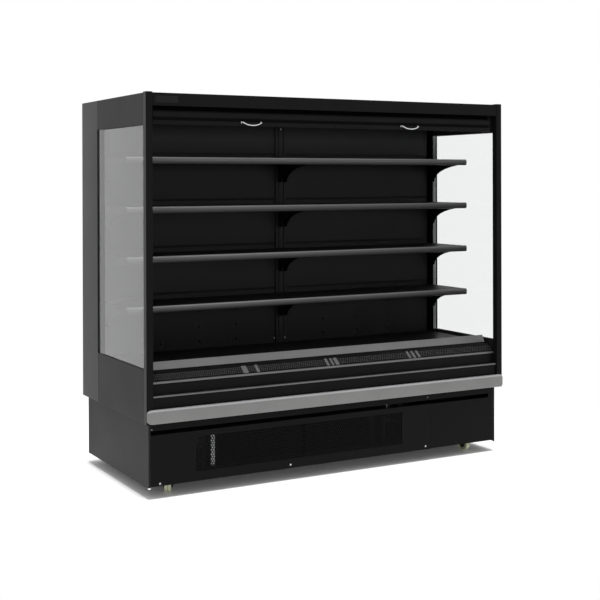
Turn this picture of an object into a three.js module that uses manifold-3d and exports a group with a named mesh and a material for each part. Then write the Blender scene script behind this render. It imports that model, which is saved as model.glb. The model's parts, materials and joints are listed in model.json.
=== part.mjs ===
// Open multideck display fridge on castors, with four shelf tiers in two bays, glazed ends
// and two night blinds. Millimetres, +Z up, +Y towards the back, the origin on the floor
// under the middle of the whole.

import * as THREE from 'three';
import { mergeVertices } from 'three/addons/utils/BufferGeometryUtils.js';
import Module from 'manifold-3d';

const wasm = await Module();
wasm.setup();

// ---------------------------------------------------------------- overall sizes
const width = 2124;
const height = 1946;
const bodyDepth = 932; // front posts to the back
const bumperDepth = 16; // the bumper stands this far in front of the posts
const bodyBottom = 365; // underside of the insulated body
const gap = 0.3; // between pieces that seat on each other
const sheet = 2; // folded steel sheet

// end walls
const wallThickness = 19;
const postWidth = 35;
const postDepth = 37;
const postRise = 4; // posts stand above the roof
const postRound = 4;
const upperPanelHeight = 153;
const lowerPanelHeight = 259;
const glassThickness = 8;
const glassInset = 5.5; // glass behind the outer face
const glassSeat = 10; // glass reaches into its grooves
const grooveDepth = 12;
const grooveSlack = 0.5;

// insulated body
const rearShellDepth = 254;
const insulation = 60;
const roofThickness = 56;
const upstandThickness = 25;
const upstandHeight = 115; // above the tub floor
const drainReach = 60; // slope behind the upstand

// display interior
const uprightLead = 42; // upright face in front of the rear shell
const uprightDepth = 22;
const uprightSheet = 2.5;
const centreUprightWidth = 64;
const endUprightWidth = 32;
const slotsPerTier = 5;
const slotMargin = 60; // no slots this near the deck or the roof
const slotWidth = 6;
const slotHeight = 15;
const backPanelInset = 8; // behind the upright face
const backPanelDrop = 36; // top edge below the roof slab
const backPanelFoot = 15; // above the tub floor
const creaseDepth = 3;
const creaseRise = 22; // above each shelf
const holeRadius = 6;
const holeFoot = 648;
const holePitch = 81;
const holeSpread = 223;
const holeShift = 20; // holes sit this far inboard of each panel's middle

// shelves
const shelfCount = 4;
const shelfRise = 279; // lowest shelf above the deck
const shelfHeadroom = 245; // highest shelf below the roof slab
const shelfDepth = 329;
const shelfEndGap = 2; // to the end wall
const bayGap = 2;
const shelfLip = 28;
const bracketThickness = 3;
const bracketDrop = 128;
const bracketNose = 26;
const bracketArm = 60; // straight part behind the nose
const bracketFoot = 38;
const bracketBend = 58;
const hookHeight = 10;
const hookDrop = 17; // first hook under the shelf top
const railHeight = 33;
const railThickness = 3;
const railBulge = 9;

// deck and front
const deckTop = 612;
const deckEndGap = 23;
const deckLip = 20;
const trestleInset = 40; // behind the pan's front and in front of its back
const trestleSide = 60;
const trestleFoot = 50;
const trestleLean = 30;
const trestleArch = 60; // arch below the pan
const riserFoot = 96; // riser foot behind the post front
const riserLean = 20;
const riserHeight = 40;
const riserRise = 44; // foot above the cap
const capTop = 560;
const capNose = 34; // nose of the cap behind the post front
const ledgeTop = 496;
const ledgeNose = 11;
const noseHeight = 9;
const noseReach = 3;
const grilleFlange = 10;
const bumperHeight = 68;
const bumperDrop = 51; // below the ledge's nose
const bumperRound = 8;
const bumperEndRound = 12;

// blinds
const fasciaHeight = 62;
const fasciaInset = 3;
const fasciaFlange = 30;
const fasciaLip = 15;
const tubeRadius = 20;
const tubeWall = 2;
const tubeDrop = 39; // tube axis below the fascia's foot
const tubeInset = 28; // tube axis behind the post front
const tubeLeft = 5; // tube's left end to the left post
const tubeRight = 42; // tube's right end to the right post
const rollRadius = 13;
const rollPin = 4;
const pinSlack = 0.4;
const discThickness = 3;
const fabricThickness = 0.6;
const barHeight = 22;
const barThickness = 10;
const barDrop = 10; // under the tube
const handleSpan = 120;
const handleRadius = 3.6;
const handleSag = 19;
const handleReach = 13;
const handleShift = 27; // handles sit this far inboard of each blind's middle

// base
const baseInset = 24; // base side behind the body's side
const baseFront = 39; // base front behind the post front
const baseBack = 24; // base back in front of the body's back
const baseFoot = 53;
const sideFlange = 11;
const topRailHeight = 39;
const shadowSlot = 22;
const kickFoot = 62;
const kickSeam = 600; // seam between the two kick panels
const kickFold = 15;
const ventLeft = -791;
const ventRight = 413;
const ventFoot = 109;
const ventTop = 279;
const ventColumns = 30;
const ventRows = 4;
const ventWeb = 10;
const railFoot = 88; // underside of the chassis
const railDepth = 30;
const railWidth = 40;
const trayInset = 275; // tray's left edge to the base side
const louvreColumns = 8;
const louvreRows = 3;
const louvreInset = 335; // outermost louvres to the base side
const louvreGap = 40;
const louvreFoot = 130;
const louvrePitch = 46;
const louvreHeight = 12;

// castors
const castorSideInset = 132; // swivel axis to the base side
const castorFrontInset = 83; // to the base front
const castorRearInset = 120; // to the base back
const wheelRadius = 30;
const wheelWidth = 34;
const wheelGroove = 5;
const axleRadius = 5;
const castorTrail = 18;
const plateThickness = 4;
const plateSize = 74;
const forkSheet = 3;

// cold machinery
const coilLeft = -700;
const coilRight = 250;
const coilDepth = 50;
const coilHeight = 160;
const coilFins = 26;
const fanRadius = 72;
const fanBlades = 5;
const hubRadius = 24;
const hubLength = 22;
const shaftRadius = 4;
const bladeWidth = 44;
const motorRadius = 30;
const motorLength = 46;
const compressorInset = 315; // from the right base side
const compressorY = 60;
const compressorRadius = 82;
const compressorHeight = 200;
const evaporatorInset = 143; // from the end walls
const evaporatorFoot = 470;
const evaporatorHeight = 250;
const evaporatorDepth = 150;
const evaporatorFins = 24;

// ---------------------------------------------------------------- sizes that follow
const halfWidth = width / 2;
const innerX = halfWidth - wallThickness;
const postX = halfWidth - postWidth;
const frontY = -(bodyDepth + bumperDepth) / 2 + bumperDepth;
const rearY = frontY + bodyDepth;
const roofTop = height - postRise;
const seamY = rearY - rearShellDepth;
const wallY = rearY - insulation;
const postBack = frontY + postDepth;
const sillZ = bodyBottom + lowerPanelHeight;
const headZ = roofTop - upperPanelHeight;
const floorTop = bodyBottom + insulation;
const roofFoot = roofTop - roofThickness;
const uprightY = seamY - uprightLead;
const backPanelY = uprightY + backPanelInset;
const backPanelTop = roofFoot - backPanelDrop;
const lowestShelf = deckTop + shelfRise;
const shelfPitch = (roofFoot - lowestShelf - shelfHeadroom) / (shelfCount - 1);
const slotPitch = shelfPitch / slotsPerTier;
const shelfBack = uprightY - gap;
const shelfFront = shelfBack - shelfDepth;
const baseHalf = halfWidth - baseInset;
const baseFrontY = frontY + baseFront;
const baseBackY = rearY - baseBack;
const castorX = baseHalf - castorSideInset;
const castorFrontY = baseFrontY + castorFrontInset;
const castorRearY = baseBackY - castorRearInset;
const baseTop = bodyBottom - gap;
const topRailFoot = bodyBottom - topRailHeight;
const kickTop = topRailFoot - shadowSlot;
const trayTop = railFoot + railDepth + sheet;
const fasciaFoot = roofTop - fasciaHeight;
const fasciaY = frontY + fasciaInset;
const tubeY = frontY + tubeInset;
const tubeZ = fasciaFoot - tubeDrop;
const fabricY = tubeY - rollRadius - fabricThickness / 2;
const barTop = tubeZ - tubeRadius - barDrop;
const capY = frontY + capNose;
const ledgeY = frontY + ledgeNose;
const upstandY = capY + noseReach + 12;
const capBack = upstandY + upstandThickness;
const riserY = frontY + riserFoot;
const bumperFoot = ledgeTop - noseHeight - bumperDrop - bumperHeight;

// ---------------------------------------------------------------- materials
function paint(colour, roughness = 0.45, metalness = 0.1) {
  return new THREE.MeshStandardMaterial({ color: colour, roughness, metalness });
}

const finish = {
  skin: paint(0x3a3a3b, 0.5),
  black: paint(0x1b1b1c, 0.45),
  inner: paint(0x202021, 0.55),
  grey: paint(0x8b8c8d, 0.4, 0.5),
  rail: paint(0x6f7071, 0.45, 0.3),
  steel: paint(0xb9bbbd, 0.35, 0.8),
  chrome: paint(0xdddfe0, 0.15, 1),
  glass: paint(0xc9d0d2, 0.05, 0),
  wheel: paint(0xa2a77a, 0.6, 0),
  fabric: paint(0x161617, 0.8, 0),
  fins: paint(0x9aa0a3, 0.4, 0.8),
};

// ---------------------------------------------------------------- solids and outlines
function solid(geometry) {
  const bare = geometry.clone();
  bare.deleteAttribute('normal');
  bare.deleteAttribute('uv');
  const merged = mergeVertices(bare, 1e-4);
  return new wasm.Manifold(new wasm.Mesh({
    numProp: 3,
    vertProperties: new Float32Array(merged.attributes.position.array),
    triVerts: new Uint32Array(merged.index.array),
  }));
}

function surface(body) {
  const mesh = body.getMesh();
  const geometry = new THREE.BufferGeometry();
  geometry.setAttribute('position', new THREE.BufferAttribute(mesh.vertProperties, 3));
  geometry.setIndex(new THREE.BufferAttribute(mesh.triVerts, 1));
  geometry.computeVertexNormals();
  return geometry;
}

function block(x0, x1, y0, y1, z0, z1) {
  const geometry = new THREE.BoxGeometry(x1 - x0, y1 - y0, z1 - z0);
  geometry.translate((x0 + x1) / 2, (y0 + y1) / 2, (z0 + z1) / 2);
  return solid(geometry);
}

function extruded(shape, depth, curveSegments = 6) {
  return new THREE.ExtrudeGeometry(shape, { depth, bevelEnabled: false, curveSegments });
}

const axisX = new THREE.Vector3(1, 0, 0);
const axisY = new THREE.Vector3(0, 1, 0);
const axisZ = new THREE.Vector3(0, 0, 1);

// An outline in (y, z), run along x
function alongX(shape, x0, x1, curveSegments) {
  const geometry = extruded(shape, x1 - x0, curveSegments);
  geometry.applyMatrix4(new THREE.Matrix4().makeBasis(axisY, axisZ, axisX));
  geometry.translate(x0, 0, 0);
  return solid(geometry);
}

// An outline in (x, z), run along y
function alongY(shape, y0, y1, curveSegments) {
  const geometry = extruded(shape, y1 - y0, curveSegments);
  geometry.applyMatrix4(new THREE.Matrix4().makeBasis(axisX, axisZ, axisY.clone().negate()));
  geometry.translate(0, y1, 0);
  return solid(geometry);
}

// An outline in (x, y), run along z
function alongZ(shape, z0, z1, curveSegments) {
  const geometry = extruded(shape, z1 - z0, curveSegments);
  geometry.translate(0, 0, z0);
  return solid(geometry);
}

function outline(points) {
  return new THREE.Shape(points.map(([a, b]) => new THREE.Vector2(a, b)));
}

function circle(a, b, radius) {
  const shape = new THREE.Shape();
  shape.absarc(a, b, radius, 0, 2 * Math.PI, false);
  return shape;
}

// A round bar along x, y or z
function bar(axis, from, to, a, b, radius, segments = 20) {
  const run = { x: alongX, y: alongY, z: alongZ }[axis];
  return run(circle(a, b, radius), from, to, segments);
}

// The outline of a folded sheet: the path is its outer face, and the sheet lies to the left of it
function folded(path, thickness = sheet) {
  const points = path.map(([a, b]) => new THREE.Vector2(a, b));
  const normals = points.slice(1).map((point, i) => {
    const along = point.clone().sub(points[i]).normalize();
    return new THREE.Vector2(-along.y, along.x);
  });
  const inner = points.map((point, i) => {
    const before = normals[Math.max(i - 1, 0)];
    const after = normals[Math.min(i, normals.length - 1)];
    const mitre = before.clone().add(after);
    mitre.multiplyScalar(thickness / mitre.dot(after));
    return point.clone().add(mitre);
  });
  return new THREE.Shape([...points, ...inner.reverse()]);
}

const objects = new THREE.Group();

function part(name, body, material) {
  const mesh = new THREE.Mesh(surface(body), material);
  mesh.name = name;
  objects.add(mesh);
  return mesh;
}

// Both ends of the cabinet: side is -1 for the left end and 1 for the right
function spanOf(side, near, far) {
  return side < 0 ? [-far, -near] : [near, far];
}

const ends = [['left', -1], ['right', 1]];

// Room for the front posts, which are wider than the end walls behind them
function clearOfPosts(body) {
  let clear = body;
  for (const [, side] of ends) {
    const [a, b] = spanOf(side, postX - gap, innerX);
    clear = clear.subtract(block(a, b, frontY - 1, postBack + gap, bodyBottom - 1, height));
  }
  return clear;
}

// ---------------------------------------------------------------- insulated body
function rearShell() {
  const r = postRound;
  const shape = new THREE.Shape();
  shape.moveTo(-halfWidth, seamY);
  shape.lineTo(-halfWidth, rearY - r);
  shape.absarc(-halfWidth + r, rearY - r, r, Math.PI, Math.PI / 2, true);
  shape.absarc(halfWidth - r, rearY - r, r, Math.PI / 2, 0, true);
  shape.lineTo(halfWidth, seamY);
  shape.lineTo(innerX, seamY);
  shape.lineTo(innerX, wallY);
  shape.lineTo(-innerX, wallY);
  shape.lineTo(-innerX, seamY);
  part('rear_shell', alongZ(shape, bodyBottom, roofTop, 3), finish.skin);
}

function insulatedTub() {
  const drain = 6;
  const back = wallY - gap;
  const section = outline([
    [upstandY, bodyBottom], [back, bodyBottom], [back, floorTop],
    [capBack + drainReach, floorTop], [capBack + drainReach / 3, floorTop + drain],
    [capBack, floorTop + drainReach / 2], [capBack, floorTop + upstandHeight],
    [upstandY, floorTop + upstandHeight],
  ]);
  part('insulated_tub', alongX(section, -innerX + gap, innerX - gap), finish.inner);
}

// Roof slab, air outlet over the front of the shelves, and the ceiling sheet behind it
const outletFront = tubeY + tubeRadius + 11;
const outletDepth = 80;
const outletDrop = 86; // below the roof slab
const outletFoot = roofFoot - outletDrop;
const ceilingRise = backPanelTop - outletFoot;
const outletColumns = 32;
const outletMargin = 30;

function canopy() {
  const noseY = fasciaY + sheet + gap;
  const outletBack = outletFront + outletDepth;
  const ceilingBack = uprightY - gap;
  const lipTop = roofTop - sheet - gap;
  const lipBack = fasciaY + fasciaLip + gap;
  const plate = 4;
  const section = outline([
    [noseY, lipTop], [noseY, fasciaFoot + sheet + gap], [outletFront, fasciaFoot + sheet + gap],
    [outletFront, outletFoot], [outletBack, outletFoot], [ceilingBack, outletFoot + ceilingRise],
    [ceilingBack, outletFoot + ceilingRise + plate], [outletBack, outletFoot + plate],
    [outletFront + plate, outletFoot + plate], [outletFront + plate, roofFoot],
    [wallY - gap, roofFoot], [wallY - gap, roofTop], [lipBack, roofTop], [lipBack, lipTop],
  ]);
  let body = alongX(section, -innerX + gap, innerX - gap);
  const pitch = 2 * (innerX - outletMargin) / outletColumns;
  for (let i = 0; i < outletColumns; i += 1) {
    const x = -innerX + outletMargin + pitch * i;
    body = body.subtract(block(
      x + 4, x + pitch - 4,
      outletFront + 12, outletBack - 10,
      outletFoot - 1, outletFoot + plate + 1,
    ));
  }
  part('canopy', clearOfPosts(body), finish.inner);
}

// ---------------------------------------------------------------- glazed ends
const glassOuter = halfWidth - glassInset;
const glassInner = glassOuter - glassThickness;

function endPanel(name, side, z0, z1, grooveAtTop) {
  const [a, b] = spanOf(side, innerX, halfWidth);
  const [g0, g1] = spanOf(side, glassInner - grooveSlack, glassOuter + grooveSlack);
  const y0 = postBack + gap;
  const y1 = seamY - gap;
  const grooveZ = grooveAtTop ? [z1 - grooveDepth, z1 + 1] : [z0 - 1, z0 + grooveDepth];
  const body = block(a, b, y0, y1, z0, z1).subtract(block(g0, g1, y0 - 1, y1 + 1, ...grooveZ));
  part(name, body, finish.skin);
}

function frontPost(name, side) {
  const r = postRound;
  const [a, b] = spanOf(side, postX, halfWidth);
  const shape = new THREE.Shape();
  shape.moveTo(a, postBack);
  shape.lineTo(a, frontY + r);
  shape.absarc(a + r, frontY + r, r, Math.PI, 1.5 * Math.PI, false);
  shape.absarc(b - r, frontY + r, r, 1.5 * Math.PI, 2 * Math.PI, false);
  shape.lineTo(b, postBack);
  const [g0, g1] = spanOf(side, glassInner - grooveSlack, glassOuter + grooveSlack);
  const groove = block(g0, g1, postBack - grooveDepth, postBack + 1, bodyBottom + 30, height - 30);
  part(name, alongZ(shape, bodyBottom, height, 4).subtract(groove), finish.black);
}

function endGlass(name, side) {
  const [a, b] = spanOf(side, glassInner, glassOuter);
  const body = block(
    a, b, postBack - glassSeat, seamY - gap, sillZ - glassSeat, headZ + glassSeat,
  );
  part(name, body, finish.glass);
}

function endWalls() {
  for (const [hand, side] of ends) {
    endPanel(`${hand}_end_upper_panel`, side, headZ, roofTop, false);
    endPanel(`${hand}_end_lower_panel`, side, bodyBottom, sillZ, true);
    frontPost(`${hand}_front_post`, side);
    endGlass(`${hand}_end_glass`, side);
  }
}

// ---------------------------------------------------------------- display interior
const bracketInner = centreUprightWidth / 4;
const bracketOuter = innerX - gap - endUprightWidth + bracketInner;
const slotTop = uprightTopSlot();

// The slots keep the shelves' pitch, so a bracket's hooks meet them at every tier
function uprightTopSlot() {
  const highest = lowestShelf + shelfPitch * (shelfCount - 1) - hookDrop;
  const spare = Math.floor((roofFoot - slotMargin - highest) / slotPitch);
  return highest + spare * slotPitch;
}

function upright(name, x0, x1, columns) {
  const path = [
    [x1, uprightY + uprightDepth], [x1, uprightY], [x0, uprightY], [x0, uprightY + uprightDepth],
  ];
  let body = alongZ(folded(path.reverse(), uprightSheet), floorTop + gap, roofFoot - gap);
  for (const x of columns) {
    for (let z = slotTop; z > deckTop + slotMargin; z -= slotPitch) {
      body = body.subtract(block(
        x - slotWidth / 2, x + slotWidth / 2,
        uprightY - 1, uprightY + uprightSheet + 1,
        z - slotHeight / 2, z + slotHeight / 2,
      ));
    }
  }
  part(name, body, finish.black);
}

function uprights() {
  const half = centreUprightWidth / 2;
  upright('centre_upright', -half, half, [-bracketInner, bracketInner]);
  for (const [hand, side] of ends) {
    const [a, b] = spanOf(side, innerX - gap - endUprightWidth, innerX - gap);
    upright(`${hand}_upright`, a, b, [side * bracketOuter]);
  }
}

// Back panels are creased just above each shelf and have nine air holes low down
function backPanels() {
  const y = backPanelY;
  const path = [[y, floorTop + backPanelFoot]];
  for (let i = 0; i < shelfCount; i += 1) {
    const z = lowestShelf + shelfPitch * i + creaseRise;
    path.push([y, z], [y + creaseDepth, z + creaseDepth], [y, z + 4 * creaseDepth]);
  }
  path.push([y, backPanelTop]);
  const x0 = centreUprightWidth / 2 + gap;
  const x1 = innerX - endUprightWidth - 2 * gap;
  const holeMiddle = (x0 + x1) / 2 - holeShift;
  for (const [hand, side] of ends) {
    let body = alongX(folded(path.map(([a, b]) => [a, b]).reverse()), ...spanOf(side, x0, x1));
    for (let column = -1; column <= 1; column += 1) {
      const x = side * holeMiddle + column * holeSpread;
      for (let row = 0; row < 3; row += 1) {
        const hole = bar('y', y - 5, y + 5, x, holeFoot + row * holePitch, holeRadius, 5);
        body = body.subtract(hole);
      }
    }
    part(`${hand}_back_panel`, body, finish.inner);
  }
}

// ---------------------------------------------------------------- shelves
function bracketOutline(top) {
  const rear = shelfBack;
  const toe = shelfBack - bracketFoot;
  const front = shelfFront + 1;
  const shape = new THREE.Shape();
  shape.moveTo(front, top - 1);
  shape.lineTo(front, top - bracketNose);
  shape.lineTo(front + bracketArm, top - bracketNose - 7);
  shape.quadraticCurveTo(toe - 12, top - bracketBend, toe, top - bracketDrop);
  shape.lineTo(rear, top - bracketDrop);
  for (const drop of [hookDrop + slotPitch, hookDrop]) {
    const z = top - drop;
    const behind = uprightY + uprightSheet + 1;
    shape.lineTo(rear, z - hookHeight / 2);
    shape.lineTo(behind, z - hookHeight / 2);
    shape.lineTo(behind, z - hookHeight);
    shape.lineTo(behind + 4, z - hookHeight);
    shape.lineTo(behind + 4, z + hookHeight / 2);
    shape.lineTo(rear, z + hookHeight / 2);
  }
  shape.lineTo(rear, top - 1);
  return shape;
}

function shelf(name, side, top) {
  const x0 = bayGap / 2;
  const x1 = innerX - shelfEndGap;
  const tray = folded([
    [shelfFront, top - shelfLip], [shelfFront, top], [shelfBack, top], [shelfBack, top - 12],
  ].reverse());
  let body = alongX(tray, ...spanOf(side, x0, x1));
  for (const x of [bracketInner, bracketOuter]) {
    const half = bracketThickness / 2;
    body = body.add(alongX(bracketOutline(top), side * x - half, side * x + half, 6));
  }
  part(name, body, finish.black);
}

// The ticket rail is a bowed strip with a hooked lip at its top and its foot
function ticketRail(name, top) {
  const back = shelfFront - gap;
  const face = back - railThickness;
  const foot = top - railHeight;
  const shape = new THREE.Shape();
  shape.moveTo(back, top);
  shape.lineTo(face, top + 1);
  shape.quadraticCurveTo(face - railBulge - 3, top - railHeight * 0.45, face - 4, foot);
  shape.lineTo(back, foot);
  shape.lineTo(back, foot + 3);
  shape.lineTo(face - 1, foot + 3);
  shape.quadraticCurveTo(face - railBulge + 2, top - railHeight * 0.45, face + 1, top - 3);
  shape.lineTo(back, top - 3);
  const reach = innerX - shelfEndGap;
  part(name, alongX(shape, -reach, reach, 6), finish.rail);
}

function shelves() {
  for (let i = 0; i < shelfCount; i += 1) {
    const top = lowestShelf + shelfPitch * i;
    for (const [hand, side] of ends) {
      shelf(`${hand}_shelf_${i + 1}`, side, top);
    }
    ticketRail(`ticket_rail_${i + 1}`, top);
  }
}

// ---------------------------------------------------------------- deck and front
const deckFront = riserY + riserLean + 8;

// A deck pan stands on two arched trestles over the tub floor
function deckPans() {
  const x0 = bayGap / 2;
  const x1 = innerX - deckEndGap;
  const back = uprightY - gap;
  const pan = folded([
    [deckFront, deckTop - deckLip], [deckFront, deckTop], [back, deckTop], [back, deckTop - deckLip],
  ].reverse());
  const [fore, aft] = [deckFront + trestleInset, back - trestleInset];
  const [foot, arch] = [floorTop + gap, deckTop - trestleArch];
  const trestle = outline([
    [fore, foot], [fore + trestleFoot, foot], [fore + trestleFoot + trestleLean, arch],
    [aft - trestleFoot - trestleLean, arch], [aft - trestleFoot, foot], [aft, foot],
    [aft, deckTop - 1], [fore, deckTop - 1],
  ]);
  for (const [hand, side] of ends) {
    let body = alongX(pan, ...spanOf(side, x0, x1));
    for (const x of [x0 + trestleSide, x1 - trestleSide]) {
      body = body.add(alongX(trestle, ...spanOf(side, x, x + sheet)));
    }
    part(`${hand}_deck_pan`, body, finish.black);
  }
}

const riserFootZ = capTop + riserRise;

function deckRiser() {
  const top = riserFootZ + riserHeight;
  const lean = riserY + riserLean;
  const path = [
    [lean + 2, riserFootZ], [riserY, riserFootZ], [lean, top], [lean + 8 - gap, top],
  ];
  const reach = innerX - deckEndGap - 5;
  part('deck_riser', alongX(folded(path.reverse()), -reach, reach), finish.grey);
}

// The return grille slopes from the riser's foot down to the cap of the front wall
const grilleColumns = 38;

function returnGrille() {
  const foot = capTop + gap;
  const top = riserFootZ - gap - sheet;
  const y0 = capBack;
  const y1 = riserY + 8;
  const path = [[y0 - grilleFlange, foot], [y0, foot], [y1, top], [y1 + 14, top]];
  const x1 = innerX - gap;
  let body = alongX(folded(path), -x1, x1);
  const slope = Math.atan2(top - foot, y1 - y0);
  const length = Math.hypot(top - foot, y1 - y0);
  const pitch = (2 * x1 - 20) / grilleColumns;
  for (let i = 0; i < grilleColumns; i += 1) {
    const slotGeometry = new THREE.BoxGeometry(pitch - 8, length - 20, 12);
    slotGeometry.rotateX(slope);
    slotGeometry.translate(-x1 + 10 + pitch * (i + 0.5), (y0 + y1) / 2, (foot + top) / 2 + 1);
    body = body.subtract(solid(slotGeometry));
  }
  part('return_grille', body, finish.black);
}

// Foam-filled front wall with a nosed cap and a nosed ledge, hooked over the tub's upstand
function frontWall() {
  const upper = capY + noseReach;
  const lower = ledgeY + noseReach;
  const shape = outline([
    [capBack, capTop], [capY + 2, capTop], [capY, capTop - 2], [capY, capTop - noseHeight + 2],
    [capY + 1, capTop - noseHeight], [upper, capTop - noseHeight], [upper, ledgeTop + 1],
    [ledgeY + 2, ledgeTop], [ledgeY, ledgeTop - 2], [ledgeY, ledgeTop - noseHeight + 2],
    [ledgeY + 1, ledgeTop - noseHeight], [lower, ledgeTop - noseHeight], [lower, bodyBottom],
    [upstandY - gap, bodyBottom], [upstandY - gap, floorTop + upstandHeight + gap],
    [capBack, floorTop + upstandHeight + gap],
  ]);
  part('front_wall', clearOfPosts(alongX(shape, -innerX + gap, innerX - gap)), finish.black);
}

// Bumper with rounded ends, on a web that reaches back to the front wall
function bumper() {
  const back = frontY - gap;
  const front = frontY - bumperDepth;
  const top = bumperFoot + bumperHeight;
  const r = bumperRound;
  const section = new THREE.Shape();
  section.moveTo(back, top);
  section.lineTo(back, bumperFoot);
  section.lineTo(front + r / 2, bumperFoot);
  section.absarc(front + r / 2, bumperFoot + r / 2, r / 2, 1.5 * Math.PI, Math.PI, true);
  section.absarc(front + r, top - r, r, Math.PI, Math.PI / 2, true);
  const e = bumperEndRound;
  const plan = new THREE.Shape();
  plan.moveTo(-halfWidth, back);
  plan.absarc(-halfWidth + e, front + e, e, Math.PI, 1.5 * Math.PI, false);
  plan.absarc(halfWidth - e, front + e, e, 1.5 * Math.PI, 2 * Math.PI, false);
  plan.lineTo(halfWidth, back);
  const web = block(
    -postX + 20, postX - 20, back - 2, ledgeY + noseReach - gap,
    bumperFoot + 24, bumperFoot + 44,
  );
  const face = alongX(section, -halfWidth, halfWidth, 4)
    .intersect(alongZ(plan, bumperFoot - 1, top + 1, 5));
  part('bumper', face.add(web), finish.grey);
}

// ---------------------------------------------------------------- fascia and blinds
function fascia() {
  const path = [
    [fasciaY + fasciaFlange, fasciaFoot], [fasciaY, fasciaFoot],
    [fasciaY, roofTop], [fasciaY + fasciaLip, roofTop],
  ];
  part('fascia', alongX(folded(path.reverse()), -postX + gap, postX - gap), finish.black);
}

const tubeX0 = -postX + tubeLeft;
const tubeX1 = postX - tubeRight;
const tubeMiddle = (tubeX0 + tubeX1) / 2;

// Round cassette that holds both blinds, hung from the fascia's flange by a web
function blindCassette() {
  const pinHole = rollPin + pinSlack;
  let body = bar('x', tubeX0, tubeX1, tubeY, tubeZ, tubeRadius, 12);
  for (const [a, b] of [[tubeX0, tubeMiddle - 1.5], [tubeMiddle + 1.5, tubeX1]]) {
    body = body.subtract(bar(
      'x', a + discThickness, b - discThickness, tubeY, tubeZ, tubeRadius - tubeWall, 12,
    ));
    body = body.subtract(block(
      a + discThickness, b - discThickness,
      fabricY - 3, fabricY + 3.5, tubeZ - tubeRadius - 1, tubeZ,
    ));
  }
  body = body.subtract(bar('x', tubeX0 - 1, tubeX1 + 1, tubeY, tubeZ, pinHole, 8));
  const web = block(
    tubeX0, tubeX1, tubeY - 2, tubeY + 2, tubeZ + tubeRadius - 1, fasciaFoot - gap,
  );
  part('blind_cassette', body.add(web), finish.black);
}

function handle(x, y, z) {
  const half = handleSpan / 2;
  const front = y - handleReach;
  const path = new THREE.CatmullRomCurve3([
    [x - half, y + 2, z], [x - half, y - 4, z + 2], [x - half + 8, front, z + 1],
    [x - half / 2, front - 2, z - handleSag * 0.7], [x, front - 3, z - handleSag],
    [x + half / 2, front - 2, z - handleSag * 0.7], [x + half - 8, front, z + 1],
    [x + half, y - 4, z + 2], [x + half, y + 2, z],
  ].map((point) => new THREE.Vector3(...point)));
  const shape = circle(0, 0, handleRadius);
  return solid(new THREE.ExtrudeGeometry(shape, {
    steps: 22, bevelEnabled: false, extrudePath: path, curveSegments: 4,
  }));
}

function blind(hand, side) {
  const [x0, x1] = side < 0 ? [tubeX0, tubeMiddle - 1.5] : [tubeMiddle + 1.5, tubeX1];
  const inside = discThickness + 2;
  const roll = bar('x', x0 + inside, x1 - inside, tubeY, tubeZ, rollRadius - gap, 6)
    .add(bar('x', x0 + gap, x1 - gap, tubeY, tubeZ, rollPin, 4));
  part(`${hand}_blind_roller`, roll, finish.steel);

  const left = x0 + 4;
  const right = x1 - 2;
  const groove = fabricThickness / 2 + gap;
  const grooveFoot = barTop - 6;
  const y = fabricY;
  const section = outline([
    [y - barThickness / 2, barTop - 2], [y - barThickness / 2, barTop - barHeight + 2],
    [y - barThickness / 2 + 2, barTop - barHeight], [y + barThickness / 2, barTop - barHeight],
    [y + barThickness / 2, barTop], [y + groove, barTop], [y + groove, grooveFoot],
    [y - groove, grooveFoot], [y - groove, barTop], [y - barThickness / 2 + 2, barTop],
  ]);
  const grip = handle(
    (x0 + x1) / 2 - side * handleShift, y - barThickness / 2, barTop - handleRadius - 1,
  );
  part(`${hand}_pull_bar`, alongX(section, left, right).add(grip), finish.black);

  const web = block(
    left + 4, right - 4, y - fabricThickness / 2, y + fabricThickness / 2,
    grooveFoot + gap, tubeZ,
  );
  part(`${hand}_blind_fabric`, web, finish.fabric);
}

// ---------------------------------------------------------------- base
function baseSide(hand, side) {
  const [y0, y1] = [baseFrontY, baseBackY];
  const path = [
    [side * (baseHalf - sideFlange), y0], [side * baseHalf, y0],
    [side * baseHalf, y1], [side * (baseHalf - sideFlange), y1],
  ];
  if (side < 0) path.reverse();
  part(`${hand}_base_side`, alongZ(folded(path), baseFoot, baseTop), finish.skin);
}

// Welded frame: castor rails and cross members below, corner legs, and the top rails
function chassis() {
  const x = baseHalf - sheet - gap;
  const y0 = baseFrontY;
  const y1 = baseBackY - sheet - gap;
  const w = 30;
  const railTop = railFoot + railDepth;
  const front = [castorFrontY - railWidth / 2, castorFrontY + railWidth / 2];
  const rear = [castorRearY - railWidth / 2, castorRearY + railWidth / 2];
  const flangeClear = baseHalf - sideFlange - gap;
  let body = block(-x, x, ...front, railFoot, railTop).add(block(-x, x, ...rear, railFoot, railTop));
  for (const centre of [-x + w / 2, 0, x - w / 2]) {
    body = body.add(block(centre - w / 2, centre + w / 2, front[0], rear[1], railFoot, railTop));
  }
  body = body.add(block(
    -baseHalf + trayInset, flangeClear, y0 + sheet + gap, rear[1], railTop - 1, trayTop,
  ));
  for (const [, side] of ends) {
    for (const y of [front[0], rear[1] - w]) {
      body = body.add(block(...spanOf(side, x - w, x), y, y + w, railFoot, baseTop));
    }
    body = body.add(block(...spanOf(side, x - w, x), front[0], rear[1], topRailFoot, baseTop));
  }
  body = body.add(block(-flangeClear, flangeClear, y0, y0 + sheet, topRailFoot, baseTop));
  body = body.add(block(-flangeClear, flangeClear, y0, front[0] + w, baseTop - 12, baseTop));
  body = body.add(block(-x, x, rear[1] - w, y1, baseTop - 12, baseTop));
  body = body.add(block(-x, x, y1 - 4, y1, topRailFoot, baseTop));
  part('chassis', body, finish.black);
}

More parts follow.
